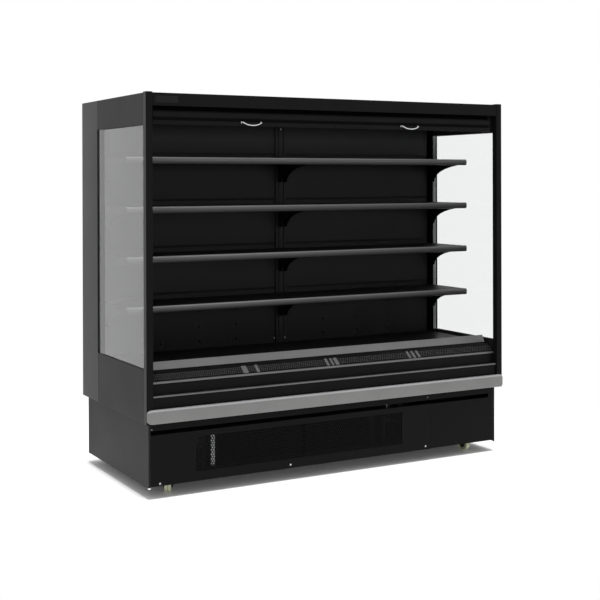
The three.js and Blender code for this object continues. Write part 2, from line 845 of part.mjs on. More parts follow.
// Kick panel with its perforated air inlet
function kickPanels() {
  const y = baseFrontY;
  const x0 = -baseHalf + sideFlange + gap;
  const x1 = baseHalf - sideFlange - gap;
  const pan = folded([
    [y + kickFold, kickFoot], [y, kickFoot], [y, kickTop], [y + kickFold, kickTop],
  ].reverse());
  let panel = alongX(pan, x0, kickSeam - 1);
  const pitchX = (ventRight - ventLeft) / ventColumns;
  const pitchZ = (ventTop - ventFoot) / ventRows;
  for (let row = 0; row < ventRows; row += 1) {
    for (let column = 0; column < ventColumns; column += 1) {
      const x = ventLeft + pitchX * column;
      const z = ventFoot + pitchZ * row;
      panel = panel.subtract(block(
        x + ventWeb / 2, x + pitchX - ventWeb / 2, y - 1, y + sheet + 1,
        z + ventWeb / 2, z + pitchZ - ventWeb / 2,
      ));
    }
  }
  part('kick_panel', panel, finish.black);

  const ear = 33;
  const end = alongX(pan, kickSeam + 1, x1)
    .add(block(x1 - ear, x1, y, y + sheet, kickTop - 5, topRailFoot - gap));
  part('kick_end_panel', end, finish.black);
}

function baseRearPanel() {
  const y1 = baseBackY;
  const x = baseHalf - sideFlange - gap;
  let body = block(-x, x, y1 - sheet, y1, baseFoot, baseTop);
  const reach = baseHalf - louvreInset;
  const pitch = (2 * reach + louvreGap) / louvreColumns;
  for (let column = 0; column < louvreColumns; column += 1) {
    for (let row = 0; row < louvreRows; row += 1) {
      const left = -reach + column * pitch;
      const foot = louvreFoot + row * louvrePitch;
      body = body.subtract(block(
        left, left + pitch - louvreGap, y1 - sheet - 1, y1 + 1, foot, foot + louvreHeight,
      ));
    }
  }
  part('base_rear_panel', body, finish.skin);
}

// ---------------------------------------------------------------- castors
function castorFork(name, x, y, turn) {
  const top = railFoot - gap;
  const half = plateSize / 2;
  const inside = wheelWidth / 2 + 1;
  const plate = block(-half, half, -half, half, top - plateThickness, top);
  const crown = bar('z', top - 16, top - plateThickness + 1, 0, 0, 22, 8);
  const bridge = block(-inside - forkSheet, inside + forkSheet, -16, 26, top - 20, top - 16 + 1);
  let body = plate.add(crown).add(bridge);
  const leg = new THREE.Shape();
  leg.moveTo(-16, top - 17);
  leg.lineTo(castorTrail - 11, wheelRadius - 6);
  leg.absarc(castorTrail, wheelRadius, 11, 1.2 * Math.PI, 1.95 * Math.PI, false);
  leg.lineTo(26, top - 17);
  for (const side of [-1, 1]) {
    body = body.add(alongX(leg, ...spanOf(side, inside, inside + forkSheet), 5));
  }
  const bolt = bar('x', -inside - forkSheet - 2, inside + forkSheet + 2,
    castorTrail, wheelRadius, axleRadius, 5);
  const mesh = part(name, body.add(bolt), finish.steel);
  mesh.position.set(x, y, 0);
  mesh.rotation.z = turn;
}

function castorWheel(name, x, y, turn) {
  const half = wheelWidth / 2;
  const bore = axleRadius + gap;
  const rim = wheelRadius;
  const profile = [
    [bore, -half], [rim - 8, -half], [rim - 3, -half], [rim, -half + 4], [rim, -wheelGroove / 2],
    [rim - 5, 0], [rim, wheelGroove / 2], [rim, half - 4], [rim - 3, half], [rim - 8, half],
    [bore, half], [bore, -half],
  ].map(([a, b]) => new THREE.Vector2(a, b));
  const geometry = new THREE.LatheGeometry(profile, 22);
  geometry.rotateZ(Math.PI / 2);
  geometry.translate(0, castorTrail, wheelRadius);
  const mesh = part(name, solid(geometry), finish.wheel);
  mesh.position.set(x, y, 0);
  mesh.rotation.z = turn;
}

const castors = [
  ['front_left', -castorX, castorFrontY, -0.45],
  ['front_right', castorX, castorFrontY, 0.44],
  ['rear_left', -castorX, castorRearY, -0.35],
  ['rear_right', castorX, castorRearY, 0.3],
];

// ---------------------------------------------------------------- cold machinery
const coilFront = baseFrontY + sheet + 25;
const fanX = (coilLeft + coilRight) / 2;
const fanY = coilFront + coilDepth + 30;
const fanZ = trayTop + gap + coilHeight / 2;

// Finned coil with end plates, a shroud, and the fan motor held behind it by three arms
function condenser() {
  const foot = trayTop + gap;
  const top = foot + coilHeight;
  const back = coilFront + coilDepth;
  const receiver = 74; // the end plates on the right carry the pipework beyond the fins
  const plateWidth = 22;
  const shroudDepth = 54;
  const ring = fanRadius + 6;
  let body = block(coilLeft, coilRight, coilFront + 6, back, foot + 6, top - 6);
  for (const x of [coilLeft, coilRight - plateWidth, coilRight + receiver - plateWidth]) {
    body = body.add(block(x, x + plateWidth, coilFront, back + 3, foot, top));
  }
  const pitch = (coilRight - coilLeft - 2 * plateWidth) / coilFins;
  for (let i = 0; i < coilFins; i += 1) {
    const x = coilLeft + plateWidth + pitch * i;
    body = body.subtract(block(
      x + 6, x + pitch - 6, coilFront, coilFront + plateWidth, foot + 14, top - 14,
    ));
  }
  body = body.add(block(coilLeft, coilRight + receiver, back - 2, back + 3, foot, top));
  body = body.add(bar('y', back + 1, back + shroudDepth, fanX, fanZ, ring, 12));
  body = body.subtract(bar('y', back - 10, back + shroudDepth + 1, fanX, fanZ, fanRadius + 2, 12));
  const motorY = fanY + hubLength / 2 + 3;
  body = body.add(bar('y', motorY, motorY + motorLength, fanX, fanZ, motorRadius, 8));
  body = body.add(bar('y', fanY - hubLength / 2 - 2, motorY + 1, fanX, fanZ, shaftRadius, 4));
  for (let i = 0; i < 3; i += 1) {
    const arm = new THREE.BoxGeometry(12, 5, ring - 26);
    arm.translate(0, 0, 24 + (ring - 26) / 2);
    arm.rotateY(0.3 + (i * 2 * Math.PI) / 3);
    arm.translate(fanX, motorY + 6, fanZ);
    body = body.add(solid(arm));
  }
  part('condenser_coil', body, finish.fins);
}

function condenserFan() {
  const half = hubLength / 2;
  let body = bar('y', -half, half, 0, 0, hubRadius, 8);
  for (let i = 0; i < fanBlades; i += 1) {
    const blade = new THREE.BoxGeometry(fanRadius - hubRadius + 4, 2.4, bladeWidth, 4);
    const position = blade.attributes.position;
    for (let k = 0; k < position.count; k += 1) {
      const reach = position.getX(k) / (fanRadius - hubRadius) + 0.5;
      const twist = 0.75 - 0.35 * reach;
      const [y, z] = [position.getY(k), position.getZ(k)];
      position.setY(k, y * Math.cos(twist) - z * Math.sin(twist) * 0.55);
      position.setZ(k, z * (0.55 + 0.45 * reach) * Math.cos(twist * 0.5));
    }
    blade.translate((fanRadius + hubRadius) / 2 - 4, 0, 0);
    blade.rotateY((i * 2 * Math.PI) / fanBlades);
    body = body.add(solid(blade));
  }
  body = body.subtract(bar('y', -half - 1, half + 1, 0, 0, shaftRadius + gap, 5));
  const mesh = part('condenser_fan', body, finish.black);
  mesh.position.set(fanX, fanY, fanZ);
}

// Hermetic compressor: a welded can on a foot plate with its discharge stub
function compressor() {
  const r = compressorRadius;
  const h = compressorHeight;
  const profile = [
    [0, 8], [r - 12, 8], [r, 22], [r, h * 0.52], [r + 4, h * 0.54], [r + 4, h * 0.58],
    [r - 1, h * 0.6], [r - 6, h * 0.82], [r - 26, h * 0.95], [0, h],
  ].map(([a, b]) => new THREE.Vector2(a, b));
  const can = new THREE.LatheGeometry(profile, 24);
  can.rotateX(Math.PI / 2);
  let body = solid(can);
  body = body.add(block(-r - 18, r + 18, -r * 0.7, r * 0.7, 0, 10));
  body = body.add(bar('z', h * 0.4, h * 0.9, r + 12, 0, 6, 4).add(
    block(r - 4, r + 14, -5, 5, h * 0.4, h * 0.46),
  ));
  const mesh = part('compressor', body, finish.black);
  mesh.position.set(baseHalf - compressorInset, compressorY, trayTop + gap);
}

function evaporator() {
  const half = innerX - evaporatorInset;
  const y1 = wallY - gap;
  const y0 = y1 - evaporatorDepth;
  const z0 = evaporatorFoot;
  const z1 = z0 + evaporatorHeight;
  let body = block(-half, half, y0, y1, z0, z1);
  const pitch = (2 * half - 40) / evaporatorFins;
  for (let i = 0; i < evaporatorFins; i += 1) {
    const x = -half + 20 + pitch * i;
    body = body.subtract(block(x + 6, x + pitch - 6, y0 - 1, y1 - 30, z0 - 1, z1 + 1));
  }
  part('evaporator_coil', body, finish.fins);
}

// ---------------------------------------------------------------- the whole
rearShell();
insulatedTub();
canopy();
endWalls();
uprights();
backPanels();
shelves();
deckPans();
deckRiser();
returnGrille();
frontWall();
bumper();
fascia();
blindCassette();
for (const [hand, side] of ends) {
  blind(hand, side);
  baseSide(hand, side);
}
chassis();
kickPanels();
baseRearPanel();
for (const [place, x, y, turn] of castors) {
  castorFork(`${place}_castor_fork`, x, y, turn);
  castorWheel(`${place}_castor_wheel`, x, y, turn);
}
condenser();
condenserFan();
compressor();
evaporator();

objects.name = 'open_multideck_fridge';

export default objects;
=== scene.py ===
import json
from math import atan2, cos, hypot, pi, radians, sin, sqrt

import bmesh
import bpy
from mathutils import Matrix, Vector

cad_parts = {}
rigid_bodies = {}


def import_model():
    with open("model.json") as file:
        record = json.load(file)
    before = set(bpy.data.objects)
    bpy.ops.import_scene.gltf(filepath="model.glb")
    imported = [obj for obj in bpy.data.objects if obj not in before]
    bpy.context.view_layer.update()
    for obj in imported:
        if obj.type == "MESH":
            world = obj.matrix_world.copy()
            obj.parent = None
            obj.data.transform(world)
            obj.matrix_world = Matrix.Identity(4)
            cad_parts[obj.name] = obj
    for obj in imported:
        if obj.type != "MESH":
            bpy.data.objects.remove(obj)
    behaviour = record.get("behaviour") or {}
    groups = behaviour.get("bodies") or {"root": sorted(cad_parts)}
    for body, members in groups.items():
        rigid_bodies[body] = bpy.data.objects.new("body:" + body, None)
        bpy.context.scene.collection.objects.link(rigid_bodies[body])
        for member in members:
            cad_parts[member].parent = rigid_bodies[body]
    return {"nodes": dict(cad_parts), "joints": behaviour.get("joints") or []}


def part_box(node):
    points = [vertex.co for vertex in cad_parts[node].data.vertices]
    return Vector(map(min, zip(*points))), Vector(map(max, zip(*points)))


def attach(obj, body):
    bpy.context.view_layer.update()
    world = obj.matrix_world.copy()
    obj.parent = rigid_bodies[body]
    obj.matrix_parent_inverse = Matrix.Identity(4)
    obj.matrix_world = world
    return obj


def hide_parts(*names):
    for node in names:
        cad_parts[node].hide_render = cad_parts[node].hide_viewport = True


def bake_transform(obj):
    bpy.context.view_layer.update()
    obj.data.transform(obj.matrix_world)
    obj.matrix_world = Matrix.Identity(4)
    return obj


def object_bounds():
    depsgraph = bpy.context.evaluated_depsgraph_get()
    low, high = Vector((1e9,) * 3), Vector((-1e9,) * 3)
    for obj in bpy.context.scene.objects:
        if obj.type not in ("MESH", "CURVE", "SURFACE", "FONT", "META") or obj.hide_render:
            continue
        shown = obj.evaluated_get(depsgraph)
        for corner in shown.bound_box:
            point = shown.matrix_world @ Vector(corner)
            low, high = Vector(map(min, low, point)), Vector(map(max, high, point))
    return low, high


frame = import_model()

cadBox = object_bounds()
nodes = frame["nodes"]
scene = bpy.context.scene
hands = {"left": -1, "right": 1}
shelfCount = 4
print("frame loaded:", len(nodes), "nodes")


# mesh helpers

def addBox(bm, cornerA, cornerB, bevel=0.0, segments=2):
    low, high = (Vector(map(pick, cornerA, cornerB)) for pick in (min, max))
    matrix = Matrix.Translation((low + high) / 2) @ Matrix.Diagonal((*(high - low), 1))
    made = bmesh.ops.create_cube(bm, size=1, matrix=matrix)
    if bevel:
        edges = list({edge for vert in made["verts"] for edge in vert.link_edges})
        bmesh.ops.bevel(bm, geom=edges, offset=bevel, segments=segments,
                        affect="EDGES", profile=0.5, material=-1)


def addRod(bm, start, end, radius, endRadius=None, segments=24):
    start, end = Vector(start), Vector(end)
    turn = (end - start).to_track_quat("Z", "Y").to_matrix().to_4x4()
    bmesh.ops.create_cone(bm, cap_ends=True, segments=segments, radius1=radius,
                          radius2=radius if endRadius is None else endRadius,
                          depth=(end - start).length,
                          matrix=Matrix.Translation((start + end) / 2) @ turn)


def moveMade(bm, made, shift):  # what an extrusion made moves on
    moved = [item for item in made["geom"] if isinstance(item, bmesh.types.BMVert)]
    bmesh.ops.translate(bm, verts=moved, vec=shift)


def addProfile(bm, outline, near, far):  # an outline of y and z, from one x to another
    face = bm.faces.new([bm.verts.new((near, y, z)) for y, z in outline])
    moveMade(bm, bmesh.ops.extrude_face_region(bm, geom=[face]), (far - near, 0, 0))


def arc(a, b, radius, startAngle, endAngle, steps=6, radiusB=None):
    radiusB = radius if radiusB is None else radiusB
    angles = [radians(startAngle + (endAngle - startAngle) * i / steps) for i in range(steps + 1)]
    return [(a + radius * cos(angle), b + radiusB * sin(angle)) for angle in angles]


def addLoft(bm, rings):  # outlines of equal length at rising x
    loops = [[bm.verts.new((x, a, b)) for a, b in outline] for x, outline in rings]
    for near, far in zip(loops, loops[1:]):
        for i, vert in enumerate(near):
            j = (i + 1) % len(near)
            bm.faces.new((vert, near[j], far[j], far[i]))
    for loop in (loops[0], loops[-1]):
        bm.faces.new(loop)


def addSpin(bm, profile, centre, axis, steps, closed=False):
    axis = Vector(axis).normalized()
    across = axis.orthogonal().normalized()
    verts = [bm.verts.new(Vector(centre) + across * out + axis * along) for out, along in profile]
    pairs = list(zip(verts, verts[1:])) + ([(verts[-1], verts[0])] if closed else [])
    edges = [bm.edges.new(pair) for pair in pairs]
    bmesh.ops.spin(bm, geom=verts + edges, cent=Vector(centre), axis=axis, dvec=(0, 0, 0),
                   angle=2 * pi, steps=steps, use_merge=True, use_duplicate=False)


def addTube(bm, points, radius, roundness, steps):
    curve = bpy.data.curves.new("route", "CURVE")
    curve.dimensions = "3D"
    curve.bevel_depth = radius
    curve.bevel_resolution = roundness
    curve.use_fill_caps = True
    spline = curve.splines.new("NURBS")
    spline.points.add(len(points) - 1)
    for point, place in zip(spline.points, points):
        point.co = (*place, 1)
    spline.order_u = 4
    spline.use_endpoint_u = True
    spline.resolution_u = steps
    holder = bpy.data.objects.new("route", curve)
    mesh = bpy.data.meshes.new_from_object(holder)
    bm.from_mesh(mesh)
    bpy.data.objects.remove(holder)
    bpy.data.curves.remove(curve)
    bpy.data.meshes.remove(mesh)


def addHexSheet(bm, width, height, cell, matrix):
    pitch = cell["pitch"]
    rise = pitch * sqrt(3) / 2
    unit = bmesh.new()
    bmesh.ops.create_circle(unit, segments=6, radius=pitch / sqrt(3))
    if cell["sides"] == 12:
        bmesh.ops.subdivide_edges(unit, edges=unit.edges[:], cuts=1)
    bmesh.ops.create_circle(unit, segments=cell["sides"], radius=cell["hole"])
    bmesh.ops.bridge_loops(unit, edges=unit.edges[:])
    mesh = bpy.data.meshes.new("cell")
    unit.to_mesh(mesh)
    unit.free()
    holder = bpy.data.objects.new("cell", mesh)
    scene.collection.objects.link(holder)
    rows = max(1, round(height / (2 * rise)))
    columns = max(1, round(width / pitch))
    for count, offset in ((2, (pitch / 2, rise, 0)), (columns, (pitch, 0, 0)), (rows, (0, 2 * rise, 0))):
        array = holder.modifiers.new("repeat", "ARRAY")
        array.count = count
        array.use_relative_offset = False
        array.use_constant_offset = True
        array.constant_offset_displace = offset
        array.use_merge_vertices = True
        array.merge_threshold = pitch * 0.05
    wall = holder.modifiers.new("wall", "SOLIDIFY")
    wall.thickness = cell["depth"]
    wall.offset = -1
    bpy.context.view_layer.update()
    tiled = bpy.data.meshes.new_from_object(holder.evaluated_get(bpy.context.evaluated_depsgraph_get()))
    tiled.transform(matrix)
    bm.from_mesh(tiled)
    bpy.data.objects.remove(holder)
    bpy.data.meshes.remove(tiled)
    bpy.data.meshes.remove(mesh)


def addStrip(bm, xLines, zLines, y, isHole=None):  # an upright sheet cut along lines, less its openings
    made = bmesh.ops.create_grid(bm, x_segments=len(xLines) - 1, y_segments=len(zLines) - 1, size=1)
    spots = {vert: (i % len(xLines), i // len(xLines)) for i, vert in enumerate(made["verts"])}
    for vert, (i, j) in spots.items():
        vert.co = (xLines[i], y, zLines[j])
    if isHole:
        holes = [face for face in bm.faces if isHole(*map(min, zip(*(spots[vert] for vert in face.verts))))]
        bmesh.ops.delete(bm, geom=holes, context="FACES")


def addFolds(bm, axis, limits, depth):  # the outer edges of a sheet turn back
    edges = [edge for edge in bm.edges if edge.is_boundary
             and all(min(abs(vert.co[axis] - limit) for limit in limits) < 1e-6 for vert in edge.verts)]
    moveMade(bm, bmesh.ops.extrude_edge_only(bm, edges=edges), (0, depth, 0))


def makePiece(bm, name, material, body="cabinet", slot=None, replaces=(), sharp=32, thickness=0.0, matrix=None):
    if matrix:
        bmesh.ops.transform(bm, matrix=matrix, verts=bm.verts)
    bmesh.ops.remove_doubles(bm, verts=bm.verts, dist=2e-6)
    bmesh.ops.dissolve_degenerate(bm, dist=1e-6, edges=bm.edges)
    bmesh.ops.recalc_face_normals(bm, faces=bm.faces)
    if thickness:
        bmesh.ops.solidify(bm, geom=bm.faces[:], thickness=thickness)
        bmesh.ops.recalc_face_normals(bm, faces=bm.faces)
    for face in bm.faces:
        face.smooth = True
    for edge in bm.edges:
        edge.smooth = edge.is_manifold and edge.calc_face_angle() < radians(sharp)
    mesh = bpy.data.meshes.new(name)
    bm.to_mesh(mesh)
    bm.free()
    mesh.materials.append(materials[material])
    piece = bpy.data.objects.new(name, mesh)
    scene.collection.objects.link(piece)
    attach(piece, body)
    if replaces:
        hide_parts(*replaces)
    return piece


def makeBoxes(name, material, boxes, bevel=0.0, segments=2, **settings):  # a piece of plain boxes
    bm = bmesh.new()
    for cornerA, cornerB in boxes:
        addBox(bm, cornerA, cornerB, bevel, segments)
    return makePiece(bm, name, material, **settings)


def recoat(node, material):  # a node shown as it is takes a look
    nodes[node].data.materials.clear()
    nodes[node].data.materials.append(materials[material])


eased = {"wall": 0.0018, "post": 0.0012, "pane": 0.0006, "fascia": 0.0009, "tub": 0.0015, "riser": 0.0008,
         "kickEnd": 0.0005, "chassis": 0.0012, "rearPanel": 0.0005, "baseSide": 0.0008}


def soften(node, name, width, material, slot, segments=2):  # a node with its edges eased
    bm = bmesh.new()
    bm.from_mesh(nodes[node].data)
    bmesh.ops.remove_doubles(bm, verts=bm.verts, dist=1e-5)
    bmesh.ops.dissolve_limit(bm, angle_limit=radians(1), verts=bm.verts, edges=bm.edges)
    edges = [edge for edge in bm.edges if edge.is_manifold and edge.calc_face_angle() > radians(30)]
    bmesh.ops.bevel(bm, geom=edges, offset=width, segments=segments, profile=0.5,
                    affect="EDGES", material=-1, clamp_overlap=True)
    return makePiece(bm, name, material, slot=slot, replaces=(node,), sharp=18)


# shader helpers: a number or colour is set on its socket, and another socket is linked to it

def feed(tree, socket, value):
    if isinstance(value, bpy.types.NodeSocket):
        tree.links.new(value, socket)
    else:
        socket.default_value = (*value, 1) if socket.type == "RGBA" else value


def addNode(tree, kind, feeds=None, **settings):
    node = tree.nodes.new(kind)
    for key, value in settings.items():
        setattr(node, key, value)
    for key, value in (feeds or {}).items():
        feed(tree, node.inputs[key], value)
    return node


def addNoise(tree, vector, scale, detail=3, roughness=0.5):
    feeds = {"Vector": vector, "Scale": scale, "Detail": detail, "Roughness": roughness}
    return addNode(tree, "ShaderNodeTexNoise", feeds).outputs["Fac"]


def addRange(tree, value, fromLow, fromHigh, toLow=0.0, toHigh=1.0):
    feeds = {"Value": value, "From Min": fromLow, "From Max": fromHigh, "To Min": toLow, "To Max": toHigh}
    return addNode(tree, "ShaderNodeMapRange", feeds).outputs["Result"]


def addMath(tree, operation, *values):
    return addNode(tree, "ShaderNodeMath", dict(enumerate(values)), operation=operation).outputs[0]


def multiplyVectors(tree, first, second):
    return addNode(tree, "ShaderNodeVectorMath", {0: first, 1: second}, operation="MULTIPLY").outputs[0]


def splitVector(tree, vector):
    return addNode(tree, "ShaderNodeSeparateXYZ", {0: vector}).outputs


def normalUp(tree):  # 1 on a level face, 0 on an upright one
    return splitVector(tree, addNode(tree, "ShaderNodeNewGeometry").outputs["Normal"])["Z"]


def mixColour(tree, factor, colourA, colourB):
    feeds = {"Factor": factor, "A": colourA, "B": colourB}
    return addNode(tree, "ShaderNodeMix", feeds, data_type="RGBA").outputs["Result"]


# shader groups

def startGroup(name, inputs, outputs):
    group = bpy.data.node_groups.new(name, "ShaderNodeTree")
    group.interface.new_socket(name="Vector", in_out="INPUT", socket_type="NodeSocketVector")
    for title, value in inputs.items():
        kind = "NodeSocketVector" if isinstance(value, tuple) else "NodeSocketFloat"
        group.interface.new_socket(name=title, in_out="INPUT", socket_type=kind).default_value = value
    for title in outputs:
        group.interface.new_socket(name=title, in_out="OUTPUT", socket_type="NodeSocketFloat")
    return group, group.nodes.new("NodeGroupInput").outputs, group.nodes.new("NodeGroupOutput").inputs


grain = {"cloud": (0.3, 0.7), "speckScale": 260, "speck": (0.48, 0.72), "upward": (0.6, 1.0),
         "lines": (0.3, 0.7), "patchScale": 7.0}


def makeCoatGroup():  # powder coat: orange peel, cloudy handling marks, settled dust
    group, ins, outs = startGroup("coatSurface", {"Peel Scale": 900.0, "Cloud Scale": 3.0}, ("Peel", "Cloud", "Dust"))
    feed(group, outs["Peel"], addNoise(group, ins["Vector"], ins["Peel Scale"], 2))
    cloud = addNoise(group, ins["Vector"], ins["Cloud Scale"], 5, 0.6)
    feed(group, outs["Cloud"], addRange(group, cloud, *grain["cloud"]))
    speck = addRange(group, addNoise(group, ins["Vector"], grain["speckScale"], 4, 0.7), *grain["speck"])
    upward = addRange(group, normalUp(group), *grain["upward"])
    feed(group, outs["Dust"], addMath(group, "MULTIPLY", upward, speck))
    return group


def makeBrushGroup():  # fine lines along one axis, as rolling leaves them
    group, ins, outs = startGroup("brushLines", {"Stretch": (2.0, 400.0, 400.0)}, ("Lines", "Patches"))
    stretched = multiplyVectors(group, ins["Vector"], ins["Stretch"])
    feed(group, outs["Lines"], addNoise(group, stretched, 1.0, 3, 0.6))
    patches = addNoise(group, ins["Vector"], grain["patchScale"], 4, 0.6)
    feed(group, outs["Patches"], addRange(group, patches, *grain["cloud"]))
    return group


def makeWeaveGroup():  # plain weave as two crossed sets of threads
    group, ins, outs = startGroup("plainWeave", {"Threads": 2200.0}, ("Height",))
    parts = splitVector(group, ins["Vector"])
    waves = []
    for axis in "XZ":
        turned = addMath(group, "MULTIPLY", parts[axis], ins["Threads"])
        waves.append(addMath(group, "ABSOLUTE", addMath(group, "SINE", turned)))
    feed(group, outs["Height"], addMath(group, "MAXIMUM", *waves))
    return group


groups = {"coat": makeCoatGroup(), "brush": makeBrushGroup(), "weave": makeWeaveGroup()}
groupInputs = {"peelScale": "Peel Scale", "cloudScale": "Cloud Scale", "stretch": "Stretch"}


def addGroup(tree, kind, vector, look):  # what a look leaves out stays as the group has it
    feeds = {title: look[key] for key, title in groupInputs.items() if key in look}
    return addNode(tree, "ShaderNodeGroup", {"Vector": vector, **feeds}, node_tree=groups[kind]).outputs


# materials

plainInputs = {"metallic": "Metallic", "specular": "Specular IOR Level", "coat": "Coat Weight", "ior": "IOR",
               "transmission": "Transmission Weight"}
dustColour = (0.32, 0.31, 0.29)


def startMaterial(name, look):
    material = bpy.data.materials.new(name)
    material.use_nodes = True
    material.diffuse_color = (*look["colour"], 1)
    tree = material.node_tree
    shader = tree.nodes["Principled BSDF"]
    for key, socket in plainInputs.items():
        if key in look:
            shader.inputs[socket].default_value = look[key]
    return material, tree, shader, addNode(tree, "ShaderNodeTexCoord").outputs["Object"]


def addPaintedTopLight(tree, base, look):  # painted top light: faces that turn up take a lighter colour, as if lit from above
    if "paintedTopLight" not in look:
        return base
    return mixColour(tree, addRange(tree, normalUp(tree), *look["paintedTopLightFrom"]), base, look["paintedTopLight"])


def addPaintedShade(tree, base, look):  # painted shade and light as tones by height: from the piece's own map, or from metres
    if "paintedShadeBands" not in look:
        return base
    inMetres = "paintedShadeSpan" in look
    parts = splitVector(tree, addNode(tree, "ShaderNodeTexCoord").outputs["Object" if inMetres else "UV"])
    height = addRange(tree, parts["Z"], *look["paintedShadeSpan"]) if inMetres else parts["Y"]
    ramp = addNode(tree, "ShaderNodeValToRGB", {"Fac": height})
    stops = ramp.color_ramp.elements
    while len(stops) < len(look["paintedShadeBands"]):
        stops.new(0.5)
    for stop, (place, tone) in zip(stops, look["paintedShadeBands"]):  # places first, as the stops are sorted by them
        stop.position = place
    for stop, (place, tone) in zip(stops, look["paintedShadeBands"]):
        stop.color = (tone, tone, tone, 1)
    tone = ramp.outputs["Color"]
    # ends: a painted falloff along the piece's length, lighter at the left end and darker at the right
    if "ends" in look:
        tone = addMath(tree, "MULTIPLY", tone, addRange(tree, parts["X"], 0, 1, *look["ends"]))
    return multiplyVectors(tree, base, tone)


def mapHeight(piece, low, high):  # a map with x and z from 0 to 1
    layer = piece.data.uv_layers.new(name="height")
    span = max(vert.co.x for vert in piece.data.vertices)
    for loop in piece.data.loops:
        place = piece.data.vertices[loop.vertex_index].co
        layer.data[loop.index].uv = (0.5 + place.x / span / 2, (place.z - low) / (high - low))


def finishSurface(tree, shader, colour, roughness, height, strength, distance):
    bump = addNode(tree, "ShaderNodeBump", {"Strength": strength, "Distance": distance, "Height": height})
    for socket, value in (("Base Color", colour), ("Roughness", roughness), ("Normal", bump.outputs["Normal"])):
        feed(tree, shader.inputs[socket], value)


def coatedMaterial(name, look):
    material, tree, shader, vector = startMaterial(name, look)
    coat = addGroup(tree, "coat", vector, look)
    base = mixColour(tree, coat["Cloud"], look["colour"], look.get("tint", look["colour"]))
    dusty = addMath(tree, "MULTIPLY", coat["Dust"], look.get("dust", 0.3))
    colour = addPaintedShade(tree, mixColour(tree, dusty, addPaintedTopLight(tree, base, look), dustColour), look)
    roughness = addRange(tree, coat["Cloud"], 0, 1, *look["roughness"])
    finishSurface(tree, shader, colour, roughness, coat["Peel"], look.get("bump", 0.15), 0.0004)
    return material


def brushedMaterial(name, look):
    material, tree, shader, vector = startMaterial(name, look)
    brush = addGroup(tree, "brush", vector, look)
    colour = addPaintedTopLight(tree, mixColour(tree, brush["Patches"], look["colour"], look["tint"]), look)
    roughness = addRange(tree, brush["Lines"], *grain["lines"], *look.get("roughness", (0.3, 0.4)))
    finishSurface(tree, shader, colour, roughness, brush["Lines"], look.get("bump", 0.1), 0.0002)
    return material


def wovenMaterial(name, look):
    material, tree, shader, vector = startMaterial(name, look)
    weave = addGroup(tree, "weave", vector, look)
    colour = mixColour(tree, weave["Height"], look["colour"], look["tint"])
    finishSurface(tree, shader, colour, look["roughness"], weave["Height"], 0.4, 0.0003)
    return material


def glassMaterial(name, look):
    material, tree, shader, vector = startMaterial(name, look)
    feed(tree, shader.inputs["Base Color"], look["colour"])
    feed(tree, shader.inputs["Roughness"],
         addRange(tree, addNoise(tree, vector, 5, 5, 0.65), 0.45, 0.8, 0.0, look["smear"]))
    return material


backPaintedShade = {  # painted shade and light on the back panels, as tone by height: darker at the foot, then from each shelf's top edge a painted shadow under it, and above the top shelf a painted lighter band and painted shade near the top
    "span": (0.6, 1.86), "foot": 0.35, "shelf": ((-0.11, 0.9), (-0.03, 0.55), (-0.002, 0.9)),
    "topShelf": ((-0.075, 0.9), (-0.032, 0.05), (0.004, 2.9), (0.11, 3.2), (0.16, 1.2), (0.185, 0.2)),
}


def backPaintedShadeStops():
    low, high = backPaintedShade["span"]
    stops = [(low, backPaintedShade["foot"])]
    for number in range(1, shelfCount + 1):
        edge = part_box(f"left_shelf_{number}")[1].z
        tones = backPaintedShade["topShelf" if number == shelfCount else "shelf"]
        stops += [(edge + offset, tone) for offset, tone in tones]
    return [((height - low) / (high - low), tone) for height, tone in stops]


